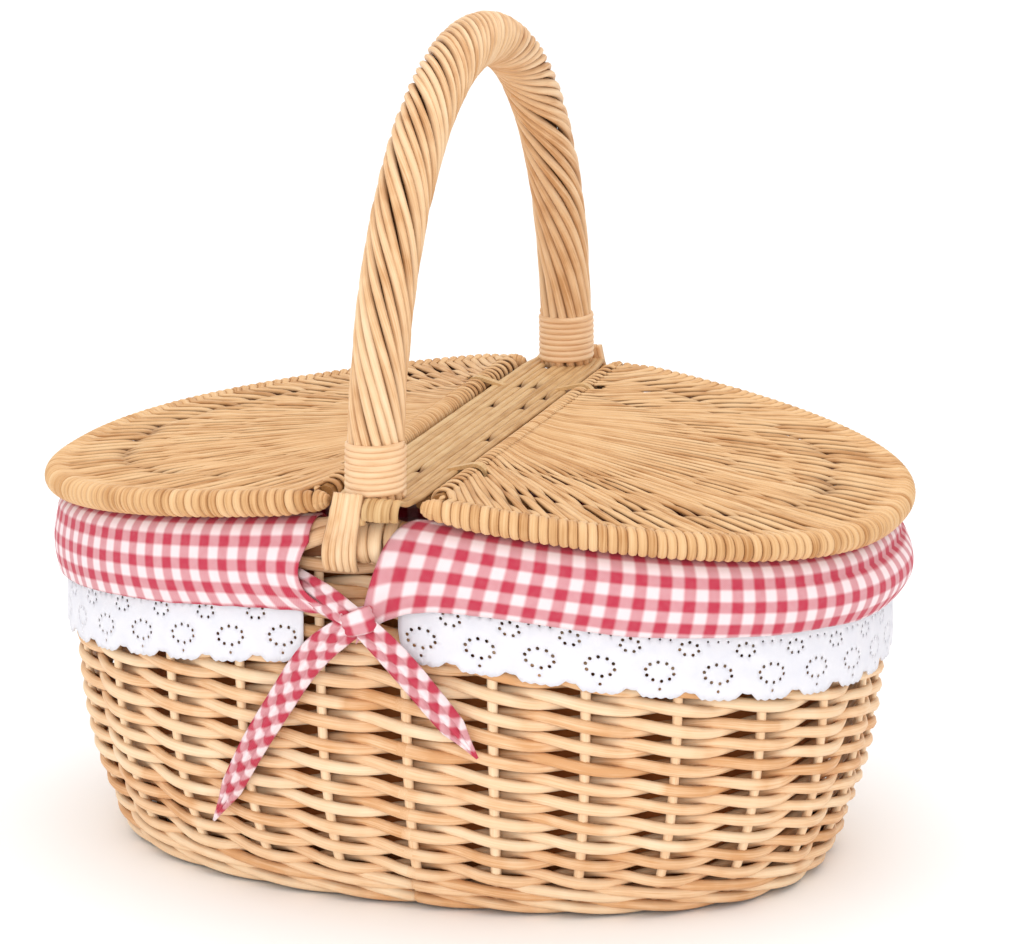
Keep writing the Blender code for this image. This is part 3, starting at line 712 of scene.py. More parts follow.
def wind_handle():
    """Thin rods laid round the arch in a twist that follows the table."""
    shares = np.linspace(0, 1, 161)
    arch = handle_arch(shares)
    arch = np.concatenate([[arch[0] - (0, 0, foot_drop)], arch, [arch[-1] - (0, 0, foot_drop)]])
    shares = np.concatenate([[0], shares, [1]])
    run = unit(np.gradient(arch, axis=0))
    outward = unit(np.cross((1, 0, 0), run))
    length = np.linalg.norm(np.diff(arch, axis=0, prepend=arch[:1]), axis=-1)
    slant = np.radians(np.interp(shares, slant_places, slant_degrees))
    turned = (np.tan(slant) * length / handle_radius).cumsum()
    room = math.pi * (handle_radius - handle_rod_half) / handle_rods * np.cos(slant)
    steps = len(arch)
    lines, normals = [], []
    for rod in range(handle_rods):
        angle = math.tau * rod / handle_rods + turned + wander(1, steps, 0.045)[0]
        spoke = np.cos(angle)[:, None] * np.array([1.0, 0, 0]) + np.sin(angle)[:, None] * outward
        sunk = np.abs(wander(1, steps, 0.25 * mm)[0])
        lines.append(arch + spoke * (handle_radius - handle_rod_half - sunk)[:, None])
        normals.append(spoke)
    widths = room * (1.07 + wander(handle_rods, steps, 0.06))
    # Painted shade darkens the flanks where the handle's rods touch.
    return lay_rods("handle_rods", handle_willow, "pale_cane", ["handle_wrap"], lines, normals, widths,
                    handle_rod_half, rng.uniform(0.1, 0.7, handle_rods), 0.0, groove=0.5, sides=10)


def wind_collar(end, turn):
    """The cane wound round one foot of the handle."""
    low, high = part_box("handle_binding_" + end)
    angle = math.tau * np.arange(collar_turns * 28 + 1) / 28
    half_width, half_height = 1.6 * mm, 1.1 * mm
    height = np.linspace(low.z + half_width, high.z - half_width - collar_drop, len(angle))
    lean = np.sqrt(1 - (np.clip(height - handle_spring, 0, None) / handle_rise) ** 2)
    radius = handle_radius - 0.3 * mm
    spoke = join(np.cos(angle), np.sin(angle), 0.0)
    line = spoke * radius + join(0.0, -handle_half_span * lean, height)
    tones = np.interp(angle, (0, angle[-1]), (0.2, 0.5))[None]
    return lay_rods("collar_" + end, cane, "pale_cane", ["handle_binding_" + end], [line], [spoke],
                    half_width, half_height, tones, groove=0.15, turn=turn)


wind_handle()
for end, end_turn in both_ends:
    wind_collar(end, end_turn)
print("handle stands", round(wrap_high.z / mm), "mm high, with", handle_rods, "rods")

# %% [markdown]
# ## The feet of the handle
# Below the collar five rods come out on the left, lean outwards and lie down over the rim. Beside
# them three split bands bend tightly over the rim. They are what really holds the handle on. The
# third one is thinner and lies lower, because the flap's edge comes over it. The second foot is
# the first one turned half round.

# %% Bend the foot rods over the rim
band_places = (-6.4 * mm, -0.2 * mm, 6.0 * mm)
band_radii = (rim_radius + 1.6 * mm, rim_radius + 1.4 * mm, rim_radius - 0.5 * mm)
band_half_heights = np.array([[1.5], [1.5], [0.9]]) * mm
foot_rod_tops = np.linspace(-11.5, -1.5, 5) * mm
foot_rod_tips = np.linspace(-22, -9.5, 5) * mm
foot_rod_shift = np.array([0, 0.12, 0.4, 0.75, 0.95, 1, 1])
foot_rod_y = np.array([-153.0, -154.6, -151.2, -145.2, -141.8, -140.6, -137.5]) * mm
foot_rod_z = np.array([198, 189, 181.5, 176, 169.5, 164, 160]) * mm


def over_rim(x, degrees, radius):
    """Points on the roll of the rim at a place along it, from above to below."""
    bend = np.radians(degrees)
    y = -oval_reach(rim_half_length, rim_half_width, x) - radius * np.cos(bend)
    normal = join(0.0, -np.cos(bend), np.sin(bend))
    return join(x, y, rim_mid_height + radius * np.sin(bend)), normal


def bend_foot_rods(end, turn):
    """Five rods and three split bands at one foot of the handle."""
    share, knots = np.linspace(0, 1, 40), np.linspace(0, 1, 7)
    lines = []
    for start, stop in zip(foot_rod_tops, foot_rod_tips):
        path = (start + (stop - start) * foot_rod_shift, foot_rod_y, foot_rod_z)
        lines.append(np.stack([np.interp(share, knots, axis) for axis in path], -1))
    lines = np.array(lines)
    for _ in range(24):
        lines[:, 1:-1] = (lines[:, :-2] + 2 * lines[:, 1:-1] + lines[:, 2:]) / 4
    normals = unit(np.cross(np.gradient(lines, axis=1), (1, 0, 0)))
    lay_rods("foot_rods_" + end, handle_willow, "pale_cane", ["handle_foot_" + end], lines, normals,
             1.75 * mm, 1.5 * mm, rng.uniform(0.1, 0.6, 5), groove=0.35, turn=turn)
    bands = [over_rim(x, np.linspace(78, -62, 15), radius) for x, radius in zip(band_places, band_radii)]
    lines, normals = zip(*bands)
    lay_rods("foot_bands_" + end, handle_willow, "pale_cane", (), lines, normals, 3.3 * mm,
             band_half_heights, rng.uniform(0, 0.4, 3), groove=0.35, turn=turn)


for end, end_turn in both_ends:
    bend_foot_rods(end, end_turn)

# %% [markdown]
# ## The bridge
# Between the feet runs a flat strip. Split willow lies along it in close bands, woven over a few
# cross sticks, and each band curls down at the strip's ends. Mostly the neighbours close over the
# place where a band dips, and only here and there a short slit is left, darkened by painted shade
# on the dipped band. At each end half of the bands run on past the handle as a tongue, and the
# others stop under it.

# %% Weave the bridge
bridge_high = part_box("bridge_weave")[1]
rail_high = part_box("bridge_rail_right")[1]
end_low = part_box("bridge_end_front")[0]
band_count = 10
band_thick = 1.2 * mm
curl_radius = 5.2 * mm
stick_gap = 21 * mm
slit_share = 0.1
curl_steps = 8
curl_width = 0.55


def weave_bridge():
    """Bands along the bridge. Returns how many dips stay open as slits."""
    half = rail_high.x
    pitch = 2 * half / band_count
    top = bridge_high.z - band_thick + 1.2 * mm
    long_reach = -end_low.y - curl_radius - 0.6 * mm
    short_reach = handle_half_span + 9 * mm
    curl = np.radians(np.linspace(0, 115, curl_steps))
    sticks = np.arange(-6, 7) * stick_gap
    slits = np.where(rng.random((len(sticks), band_count)) < slit_share, 1.0, 0.05)
    lines, widths, shades = [], [], []
    for band in range(band_count):
        x = -half + (band + 0.5) * pitch
        rounded_reach = long_reach - 4.5 * mm * ((abs(x) - half / 2) / (half / 2)) ** 2
        reaches = (rounded_reach, short_reach) if x > 0 else (short_reach, rounded_reach)
        y = np.linspace(-reaches[0], reaches[1], 150)
        dips = np.zeros_like(y)
        for number, stick in enumerate(sticks):
            if (number + band) % 2:
                dips += slits[number, band] * bell(y - stick, 4.5 * mm)
        tip = smooth_step(np.abs(y), 124 * mm, 154 * mm)
        z = top - 1.9 * mm * dips + 3.4 * mm * smooth_step(np.abs(y), 140 * mm, 152 * mm) * (y * x < 0)
        curls = []
        for reach, way in zip(reaches, (-1, 1)):
            end_z = z[0] if way < 0 else z[-1]
            curls.append(join(x * 0.84, way * (reach + curl_radius * np.sin(curl)),
                              end_z - curl_radius * (1 - np.cos(curl))))
        lines.append(np.concatenate([curls[0][::-1], join(x * (1 - 0.16 * tip), y, z), curls[1]]))
        middle = curl_width * (1 - 0.12 * tip) - 0.17 * dips
        widths.append(np.pad(middle, curl_steps, constant_values=curl_width) * pitch)
        # A band that dips gets painted shade, which darkens its slit.
        shades.append(np.pad(0.85 * dips, curl_steps))
    lines = np.array(lines)
    normals = np.zeros_like(lines)
    normals[..., 2] = 1
    for ends, way in ((normals[:, curl_steps - 1::-1], -1), (normals[:, -curl_steps:], 1)):
        ends[..., 1], ends[..., 2] = way * np.sin(curl), np.cos(curl)
    lay_rods("bridge_bands", bridge_willow, "peeled_willow",
             ["bridge_weave", "bridge_end_front", "bridge_end_back"], lines, normals, np.array(widths),
             band_thick, rng.uniform(0.1, 0.8, band_count), np.array(shades), groove=0.14)
    return int((slits == 1).sum())


print("slits in the bridge, at most:", weave_bridge())

# %% [markdown]
# ## The lids
# A lid is a D-shaped hoop. Split rods start with a turn round the hinge bar, fan out, pass over
# and under a few curved ribs, and end with most of a turn round the hoop: that is the beaded edge.
# Towards the hinge the fan gets narrow, so every second rod only starts some way out. The lids lie
# in a plane that falls away from the hinge, so they are worked out flat first and then put in it.

# %% Places on a lid
lid_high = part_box("right_lid_border")[1]
hoop_inset = 6.9 * mm
hoop_height = -0.6 * mm
bead_pitch = 4.1 * mm
bead_half_height = 1.6 * mm
bead_radius = 4.7 * mm
lid_half_length = lid_high.x - 0.6 * mm
lid_half_width = lid_high.y
droop_angle = math.atan(rim_droop)
fan_middle_x = -30 * mm
hinge_loop_radius = 4.8 * mm
hinge_strand_thick = 0.8 * mm
lid_up = np.array([math.sin(droop_angle), 0, math.cos(droop_angle)])
lid_along = np.array([math.cos(droop_angle), 0, -math.sin(droop_angle)])
lid_across = np.array([0, 1.0, 0])


def lid_place(x, y, height):
    """From a flat lid seen from above, and a height over its plane, to the basket."""
    x, y, height = np.broadcast_arrays(x, y, height)
    hinge = np.array([hinge_x, 0, hinge_height])
    away = (x - hinge_x) / math.cos(droop_angle)
    return hinge + away[..., None] * lid_along + y[..., None] * lid_across + height[..., None] * lid_up


def lid_edge(inset, count, start_x):
    """Even points along the lid's outline, from the front corner to the back one."""
    half_length, half_width = lid_half_length - inset, lid_half_width - inset
    corner = math.acos((start_x / half_length) ** (oval_fullness / 2))
    angle = np.linspace(-corner, corner, 1200)
    x, y = oval(half_length, half_width, angle)
    gone = travel(join(x, y))
    even = np.linspace(0, gone[-1], count)
    return np.interp(even, gone, x), np.interp(even, gone, y), gone[-1]


def bead_loops(x, y, out, radius, bend, lean):
    """Turns round the hoop, one for each place on it. Returns their points and their normals."""
    reach = radius * np.cos(bend)
    points = lid_place(x[:, None] + out[:, :1] * reach - out[:, 1:] * lean,
                       y[:, None] + out[:, 1:] * reach + out[:, :1] * lean,
                       hoop_height + radius * np.sin(bend))
    radial = out[:, None, :1] * lid_along + out[:, None, 1:] * lid_across
    return points, radial * np.cos(bend)[..., None] + lid_up * np.sin(bend)[..., None]


# %% [markdown]
# A slit in a lid is where one rod dips under its neighbours to pass below a rib. The neighbours
# spread and nearly close it, so what shows is a short dark line: the dipped rod is painted with shade.
# Only every second rod can dip at a rib. Of these, 17 in 20 open a slit along the edge and 3 in 5
# further in, because no weaver's hand is even. Near the hinge the rods lie too close to dip.

# %% Weave a lid
panel_height = 3.4 * mm
rib_insets = (43 * mm, 70 * mm, 97 * mm)
outer_slit_inset = 27 * mm
outer_slit_share, inner_slit_share = 0.85, 0.6
outer_slit_reach, inner_slit_reach = 7.0 * mm, 4.8 * mm
dip_depth = 3.0 * mm
panel_inset = 5 * mm
strand_steps, loop_steps = 72, 17
loop_degrees = (108, -150)
edge_degrees = (60, 225)


def strand_dips(x, y):
    """How far each strand has dipped, from 0 to 1, at places on the flat lid."""
    number = np.arange(len(x))[:, None]
    dips = np.zeros_like(x)
    for rank, inset in enumerate((outer_slit_inset, *rib_insets)):
        level = ((np.abs(x) / (lid_half_length - inset)) ** oval_fullness
                 + (np.abs(y) / (lid_half_width - inset)) ** oval_fullness)
        off = (level ** (1 / oval_fullness) - 1) * (lid_half_width - inset)
        off = off + rng.normal(0, 1.2 * mm, (len(x), 1))
        share = inner_slit_share if rank else outer_slit_share
        reach = inner_slit_reach if rank else outer_slit_reach
        strength = np.where(rng.random((len(x), 1)) < share, 1.0, 0.12) * ((number + rank) % 2 == 0)
        dips = np.maximum(dips, strength * bell(off, reach))
    return dips * (0.15 + 0.85 * smooth_step(np.abs(x), hinge_x + 8 * mm, hinge_x + 45 * mm))


def lid_fan(edge_x, edge_y, out, wrap_boxes):
    """Where each strand starts and ends on the flat lid, and which ones go round the hinge bar."""
    end_x, end_y = edge_x - out[:, 0] * panel_inset, edge_y - out[:, 1] * panel_inset
    near_x = hinge_x + hinge_loop_radius / 2
    slope = end_y / np.maximum(end_x - fan_middle_x, 1 * mm)
    at_hinge = np.abs(slope * (near_x - fan_middle_x))
    margin = 1.1 * mm
    corner_start, corner_end = [corner.y for corner in wrap_boxes["back"]]
    in_middle = at_hinge < wrap_boxes["middle"][1].y - margin
    in_corner = (at_hinge > corner_start + margin) & (at_hinge < corner_end - margin)
    looped = in_middle | in_corner
    start_x = np.where(looped, near_x, hinge_x + 7.5 * mm)
    short = end_x < start_x + 1 * mm
    start_x = np.where(short, end_x - 1 * mm, start_x)
    start_y = np.where(short, end_y, slope * (start_x - fan_middle_x))
    return start_x, start_y, end_x, end_y, looped & ~short


def weave_lid(side, turn):
    """Strands from the hinge bar to the hoop. Returns how many there are."""
    body = side + "_lid"
    strand_count = int(lid_edge(hoop_inset, 3, hinge_x)[2] / bead_pitch)
    edge_x, edge_y, _ = lid_edge(hoop_inset, strand_count, hinge_x + 3 * mm)
    out = unit(join(np.gradient(edge_y), -np.gradient(edge_x)))
    wrap_boxes = {part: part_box("right_lid_hinge_wrap_" + part) for part in ("front", "middle", "back")}
    start_x, start_y, end_x, end_y, looped = lid_fan(edge_x, edge_y, out, wrap_boxes)
    share = np.linspace(0, 1, strand_steps)
    x = start_x[:, None] + (end_x - start_x)[:, None] * share
    y = start_y[:, None] + (end_y - start_y)[:, None] * share
    ray = unit(join(end_x - start_x, end_y - start_y))
    pitch = np.abs(np.gradient(x, axis=0) * ray[:, None, 1] - np.gradient(y, axis=0) * ray[:, None, 0])
    grown = smooth_step(pitch, 1.5 * mm, 2.4 * mm)
    odd = (np.arange(strand_count) % 2)[:, None]
    width = np.where(odd, pitch * grown, pitch * (2 - grown)) / 2
    dips = strand_dips(x, y) * np.clip(share * 6, 0, 1)
    beside = np.maximum(np.roll(dips, 1, axis=0), np.roll(dips, -1, axis=0))
    height = panel_height + wander(strand_count, strand_steps, 0.10 * mm)
    height = height - dip_depth * dips - 1.6 * mm * odd * (1 - grown)
    hinge_rise = hinge_loop_radius * math.sin(math.radians(60)) - panel_height
    height += (looped[:, None] * hinge_rise) * bell(x - start_x[:, None], 5 * mm)
    bend = np.radians(np.linspace(*loop_degrees, loop_steps))
    number = np.arange(strand_count)
    from_corner = (np.minimum(number, number[::-1]) * bead_pitch)[:, None]
    bead_size = 0.74 + 0.26 * smooth_step(from_corner, 0, 15 * mm)
    loops, loop_normals = bead_loops(edge_x, edge_y, out, bead_radius * bead_size, bend[None],
                                     np.linspace(-1.5, 1.5, loop_steps) * mm)
    panel = lid_place(x, y, height)
    half_widths = np.clip(width * (1.03 + 0.36 * beside - 0.3 * dips), 0.05 * mm, 3.6 * mm)
    full_loop = np.ones((strand_count, loop_steps))
    thinned = smooth_step(np.linspace(1, 0, loop_steps), 0.7, 1)
    loop_thick = full_loop * (bead_half_height - 0.4 * mm * thinned)
    tones = rng.uniform(0.1, 0.85, strand_count)
    joined = [np.concatenate(pair, axis=1) for pair in (
        (panel, loops), (np.broadcast_to(lid_up, panel.shape), loop_normals),
        (half_widths, full_loop * bead_pitch * 0.53),
        (np.clip(half_widths * 0.5, 0.05 * mm, 1.15 * mm), loop_thick))]
    # A strand that dips gets painted shade, which darkens its slit.
    lay_rods(body + "_strands", lid_willow, "peeled_willow", [body + "_panel", body + "_border"], *joined,
             tones, np.pad(0.9 * dips, ((0, 0), (0, loop_steps))), groove=0.28, turn=turn, body=body)
    close_border_ends(body, turn, edge_x, edge_y, out)
    bend = np.radians(np.linspace(*edge_degrees, 13))
    for part, (low, high) in wrap_boxes.items():
        chosen = looped & (start_y > low.y) & (start_y < high.y) & (half_widths[:, 0] > 0.6 * mm)
        lines = lid_place(hinge_x + hinge_loop_radius * np.cos(bend) * math.cos(droop_angle),
                          start_y[chosen, None], hinge_loop_radius * np.sin(bend))
        normals = np.cos(bend)[:, None] * lid_along + np.sin(bend)[:, None] * lid_up
        wide = half_widths[chosen, :1]
        named = part if side == "right" else {"front": "back", "back": "front"}.get(part, part)
        lay_rods(body + "_edge_" + named, lid_willow, "peeled_willow", [body + "_hinge_wrap_" + named],
                 lines, normals, wide, np.clip(wide * 0.5, 0, hinge_strand_thick), tones[chosen],
                 groove=0.34, turn=turn, body=body)
    return strand_count


def close_border_ends(body, turn, edge_x, edge_y, out):
    """Three smaller and smaller rings that round off each end of the beaded edge."""
    bend = np.linspace(0, math.tau, 24, endpoint=False)
    rings = []
    for corner, way in ((0, 1), (-1, -1)):
        tangent = np.array([-out[corner, 1], out[corner, 0]]) * -way
        for beyond, factor in ((3.2, 0.66), (5.2, 0.5), (6.6, 0.28)):
            x, y = (np.array([edge_x[corner], edge_y[corner]]) + tangent * beyond * mm)[:, None]
            rings.append(bead_loops(x, y, out[corner][None], bead_radius * factor, bend[None], 0.0))
    lines, normals = [np.concatenate(parts) for parts in zip(*rings)]
    lay_rods(body + "_border_ends", lid_willow, "peeled_willow", (), lines, normals, 1.6 * mm,
             bead_half_height, 0.5, groove=0.34, closed=True, turn=turn, body=body)


def lay_lid_ribs(side, turn):
    """The curved ribs under the strands, and the hoop inside the beaded edge."""
    body = side + "_lid"
    lines = []
    for inset in rib_insets:
        x, y, _ = lid_edge(inset, 60, hinge_x + 6.5 * mm)
        lines.append(lid_place(x, y, -1.9 * mm))
    # Ribs and hoop are drawn in that darker willow with more painted shade, since they lie under the
    # strands.
    lay_rods(body + "_ribs", inner_willow, "shaded_willow", [body + "_rib_" + rank for rank in "123"],
             lines, (0, 0, 1), 2.0 * mm, 2.0 * mm, rng.uniform(0, 1, 3), 0.3, turn=turn, body=body)
    x, y, _ = lid_edge(hoop_inset, 120, hinge_x + 5 * mm)
    lay_rods(body + "_hoop_core", inner_willow, "shaded_willow", [body + "_hoop"],
             [lid_place(x, y, hoop_height)], (0, 0, 1), 3.4 * mm, 3.4 * mm, 0.6, 0.7, sides=12, turn=turn,
             body=body)


for lid_side, lid_turn in both_sides:
    print(lid_side, "lid strands:", weave_lid(lid_side, lid_turn))
    lay_lid_ribs(lid_side, lid_turn)

# %% [markdown]
# ## The liner
# Two gingham flaps are tucked in over the rim and gathered at each foot of the handle, where their
# corners run together under a knot. A flap is a grid of points: one way it runs along the rim, the
# other way it goes from the tucked hem inside, over the rim, to the hem outside. The front corner
# of the right flap is drawn far over to the knot. The left one stays back and only its last corner
# reaches over. Seen from behind it is the other way about, because the left flap is the right one
# turned half round. The check columns lean with the pull: the map in metres belongs to the cloth.
# The flap's fall is a sum of simple moves, each strong at one place and fading away from it: soft
# folds, a slide along the rim towards the knot, a longer hem there, and some fullness at the tip
# of the oval, which the photographed flap has on the right and hardly on the left.

# %% Hang the flaps
flap_radius = rim_radius + 0.9 * mm
flap_tuck = 12 * mm
flap_start, flap_end = 0.25, 12.0
tuck_steps, over_steps, down_steps = 4, 14, 20
hem_stand = 8.6 * mm
flap_length = (flap_end - flap_start) * stake_spacing
hem_places = (0, 0.2, 0.38, 0.62, 0.85, 1)
hem_drops = (24.0, 24.3, 21.5, 26.0, 27.5, 28.5)
tip_fullness = {"right": 5 * mm, "left": 0.5 * mm}


def cloth_share(along):
    """0 on the front half of a flap and 1 on its back half, with a soft change at the tip."""
    return smooth_step(along / flap_length, 0.38, 0.62)


def flap_section(hem):
    """The flap's section before any folds: outward and up, and how far along the cloth it is."""
    fall = np.linspace(0, 1, down_steps + 1)[1:]
    turned = np.linspace(math.pi, 0, over_steps)
    down = flap_radius - (flap_radius - hem_stand) * fall ** 1.5 + 1.5 * mm * np.sin(math.pi * fall)
    out = np.concatenate([np.full(tuck_steps, -flap_radius), flap_radius * np.cos(turned), down])
    rise = np.concatenate([np.linspace(-flap_tuck, -2 * mm, tuck_steps), flap_radius * np.sin(turned)])
    up = np.concatenate([np.broadcast_to(rise, (len(hem), len(rise))), -hem * fall], axis=1)
    out = np.broadcast_to(out, up.shape)
    return out, up, travel(join(out, up), 1), np.pad(fall, (tuck_steps + over_steps, 0))[None]


def hang_flap(side, turn):
    """One flap over the rim. Returns what it is cut to, in mm."""
    along = np.linspace(0, flap_length, 460)[:, None]
    off_start, off_end = along, flap_length - along
    out, up, length, fallen = flap_section(np.interp(along / flap_length, hem_places, hem_drops) * mm)
    middle = tuck_steps + over_steps // 2
    crest = length[:, middle - 1:middle]
    from_crest = np.clip((length - crest) / (length[:, -1:] - crest), 0, 1)
    folds = wander(1, len(along), 0.9)[0][:, None]
    ripple = 0.5 * np.sin(along / (17 * mm)) + 0.45 * np.sin(along / (9.5 * mm) + 1.3) + 0.6 * folds
    bulge = np.sin(math.pi * fallen ** 0.8)
    out = out + (0.3 * mm + 1.5 * mm * (0.55 + 0.45 * np.clip(ripple, -1.1, 2))) * fallen ** 0.8
    up = up + 0.4 * mm * ripple * fallen
    lean_start, lean_end = [12 * mm * fade(off, 110 * mm) * (1 - fade(off, 30 * mm)) * fallen
                            for off in (off_start, off_end)]
    slide_start = 27 * mm * fade(off_start, 45 * mm) * from_crest ** 0.6 + lean_start
    slide_end = 24 * mm * fade(off_end, 26 * mm) * fallen ** 4 + lean_end
    slide_end -= 3 * mm * fade(off_end, 40 * mm) * np.sin(math.pi * fallen)
    up = up - (20 * mm * fade(off_start, 12 * mm) + 7 * mm * fade(off_end, 18 * mm)) * fallen ** 1.5
    out = out + tip_fullness[side] * bell(off_start - off_end, 110 * mm) * bulge
    out = out + 6 * mm * fade(off_start, 10 * mm) * from_crest ** 2
    out = out + 3.2 * mm * fade(off_end, 30 * mm) * bulge
    out = out + 0.8 * mm * np.sin(off_start * math.tau / (9 * mm)) * fade(off_start, 26 * mm) * from_crest
    out = out + 1.2 * mm * np.sin(off_end * math.tau / (12 * mm)) * fade(off_end, 42 * mm) * fallen ** 0.7
    grid = rim_point(flap_start + (along - slide_start + slide_end) / stake_spacing, out, up)
    cloth_x = along - 0.35 * slide_start + 0.35 * slide_end
    cut = (float(length[:, -1].mean()), float(flap_length))
    piece = sew(skin_sheet("flap_" + side, carry(grid, turn)), join(cloth_x, length), "liner_flap_" + side)
    return [round(size / mm) for size in cut]


for lid_side, lid_turn in both_sides:
    print(lid_side, "flap is cut to, in mm:", hang_flap(lid_side, lid_turn))

# %% [markdown]
# ## The bag
# Inside the basket the liner is a loose bag of two cloths: gingham inside, and towards the willow
# a brown sheet of painted shade, which darkens the gaps of the weave. It hangs from the rim, lies
# against the stakes and covers the floor. A few soft vertical folds keep it from looking like sheet
# metal. Its flat height is that of its wall with ten centimetres more for the floor.

# %% Line the basket
floor_share = 100 * mm
bag_rise = 1.2 * mm


def line_basket():
    """The bag's floor and wall as one sheet. Returns what it is cut to, in mm."""
    place = np.linspace(0, stake_count, 313)
    depth = side_half_length - bag_high.x + bag_rise
    levels = np.linspace(0, 1, 22)
    floor_level = bag_low.z + bag_rise
    top = rim_height_at(place) + 2 * mm
    low = floor_level * 0.3
    height = low + levels[None] * (top[:, None] - low)
    once_round = place * math.tau / stake_count
    fold = 0.9 * mm * (np.sin(once_round * 31) + np.sin(once_round * 19 + 1))
    hollow = (1.2 * mm + fold[:, None]) * np.sin(levels * math.pi)[None]
    wall = wall_point(place[:, None], height, depth + hollow)
    stretch = (top - floor_level) / (wall[:, -1, 2] - wall[:, 0, 2])
    wall[..., 2] = floor_level + (wall[..., 2] - wall[:, :1, 2]) * stretch[:, None]
    centre = wall[:, :1] * np.array([0, 0, 1.0])
    bottom = centre + (wall[:, :1] - centre) * np.linspace(0.0, 0.97, 14)[:, None]
    across, rise = travel(wall[:, -1]), travel(wall, 1)
    cut = (float(across[-1]), float(rise[:, -1].mean()) + floor_share)
    # The bag's outer side is the painted shade backing.
    piece = sew(skin_sheet("lining_bag", np.concatenate([bottom, wall], axis=1)),
                np.concatenate([bottom[..., :2], join(across[:, None], rise)], axis=1), "liner_bag",
                painted_shade_backing, other_side=red_gingham)
    return [round(size / mm) for size in cut]


print("bag is cut to, in mm:", line_basket())

# %% [markdown]
# ## Eyelet lace
# The lace is cut flat first, with real holes: oval rings of eyelets, smaller rings between them,
# and a scalloped lower edge with an arch between two rings. A Delaunay triangulation fills the flat
# outline and leaves the holes open. Then each point is carried to its place under the flap's hem.

# %% Cut and hang the lace
motif_spacing = 25.5 * mm
eyelet_radius = 0.84 * mm
lace_top = 16 * mm
lace_hem = 52 * mm
lace_start, lace_end = -0.04, 11.88
lace_length = (lace_end - lace_start) * stake_spacing
motif_count = int((lace_length - 16 * mm) / motif_spacing) + 1
motif_first = (lace_length - (motif_count - 1) * motif_spacing) / 2
point_gap = 2.2 * mm
round_corner = 11 * mm


def eyelet_ring(x, y, half_width, half_height, count, radius):
    """Middles and radii of the holes of one oval ring of eyelets."""
    angles = [math.tau * (petal + 0.3) / count for petal in range(count)]
    return [(x + half_width * math.cos(angle), y + half_height * math.sin(angle), radius)
            for angle in angles]


def lace_holes():
    """Every hole of the flat lace."""
    holes = []
    for number in range(motif_count):
        x = motif_first + number * motif_spacing
        holes += eyelet_ring(x, lace_hem - 11.9 * mm, 6.3 * mm, 4.2 * mm, 10, eyelet_radius)
        holes.append((x, lace_hem - 4.2 * mm, 0.75 * mm))
        if number < motif_count - 1:
            between = x + motif_spacing / 2
            holes += eyelet_ring(between, lace_hem - 22.7 * mm, 4.2 * mm, 2.9 * mm, 7, 0.78 * mm)
            holes += [(x + step * mm, lace_hem - 26.2 * mm, 0.55 * mm) for step in (-4.6, 0, 4.6)]
    return holes


def lace_lower_edge(x):
    """How far down the flat lace reaches at a place along it."""
    step = (x - motif_first) / motif_spacing
    to_arch = np.abs(step - np.floor(step) - 0.5) * motif_spacing
    arch = 3.0 * mm * np.clip(1 - (to_arch / (5.5 * mm)) ** 2, 0, 1)
    nibble = 0.8 * mm * np.abs(np.sin(x * math.pi / (4.25 * mm)))
    corner = round_corner - np.sqrt(round_corner ** 2 - np.clip(round_corner - x, 0, round_corner) ** 2)
    return lace_hem - 0.8 * mm + nibble - arch - corner


def cut_lace():
    """Triangulate the flat lace. Returns flat points and triangles."""
    bottom_x = np.linspace(0, lace_length, int(lace_length / (0.7 * mm)))
    outline = [*zip(bottom_x, lace_lower_edge(bottom_x))]
    outline += [(x, lace_top) for x in np.linspace(lace_length, 0, int(lace_length / (2.5 * mm)))]
    points = list(outline)
    edges = [(k, (k + 1) % len(outline)) for k in range(len(outline))]
    holes = lace_holes()
    for x, y, radius in holes:
        start = len(points)
        points += [(x + radius * math.cos(math.tau * k / 8), y + radius * math.sin(math.tau * k / 8))
                   for k in range(8)]
        edges += [(start + k, start + (k + 1) % 8) for k in range(8)]
    for x in np.arange(point_gap, lace_length - 1 * mm, point_gap):
        near = [hole for hole in holes if abs(x - hole[0]) < 3 * mm]
        for y in np.arange(lace_top + 2 * mm, float(lace_lower_edge(x)) - 1.5 * mm, point_gap):
            if all((x - a) ** 2 + (y - b) ** 2 > (r + 0.7 * mm) ** 2 for a, b, r in near):
                points.append((x, y))
    found = delaunay_2d_cdt([Vector(point) * 1000 for point in points], edges, [], 1, 1e-5)
    flat = np.array([tuple(point) for point in found[0]]) / 1000
    faces = np.array([face for face in found[2] if len(face) == 3])
    middle = flat[faces].mean(axis=1)
    keep = np.ones(len(faces), bool)
    for x, y, radius in holes:
        keep &= np.hypot(middle[:, 0] - x, middle[:, 1] - y) > radius * 0.93
    return flat, faces[keep]


def hang_lace(side, turn, flat, faces):
    """Carry the flat lace to its place under the flap's hem."""
    down = flat[:, 1] + 2.5 * mm * cloth_share(flat[:, 0])
    place = lace_start + flat[:, 0] / stake_spacing
    hung = np.clip((down - lace_top) / (lace_hem - lace_top), 0, 1)
    sway = 0.5 * mm * np.sin(flat[:, 0] / (11 * mm)) + 0.35 * mm * np.sin(flat[:, 0] / (4.3 * mm) + 2)
    points = wall_point(place, rim_height_at(place) - down, -(0.9 * mm + (0.9 * mm + sway) * hung))
    mesh = bpy.data.meshes.new("eyelet_lace_" + side)
    mesh.from_pydata(carry(points, turn).tolist(), [], faces.tolist())
    mesh.shade_smooth()
    piece = sew(mesh, flat, "lace_trim_" + side, white_lace, 0.7 * mm)


lace_points, lace_faces = cut_lace()
for lid_side, lid_turn in both_sides:
    hang_lace(lid_side, lid_turn, lace_points, lace_faces)
print("lace triangles:", len(lace_faces), "and eyelets:", len(lace_holes()))

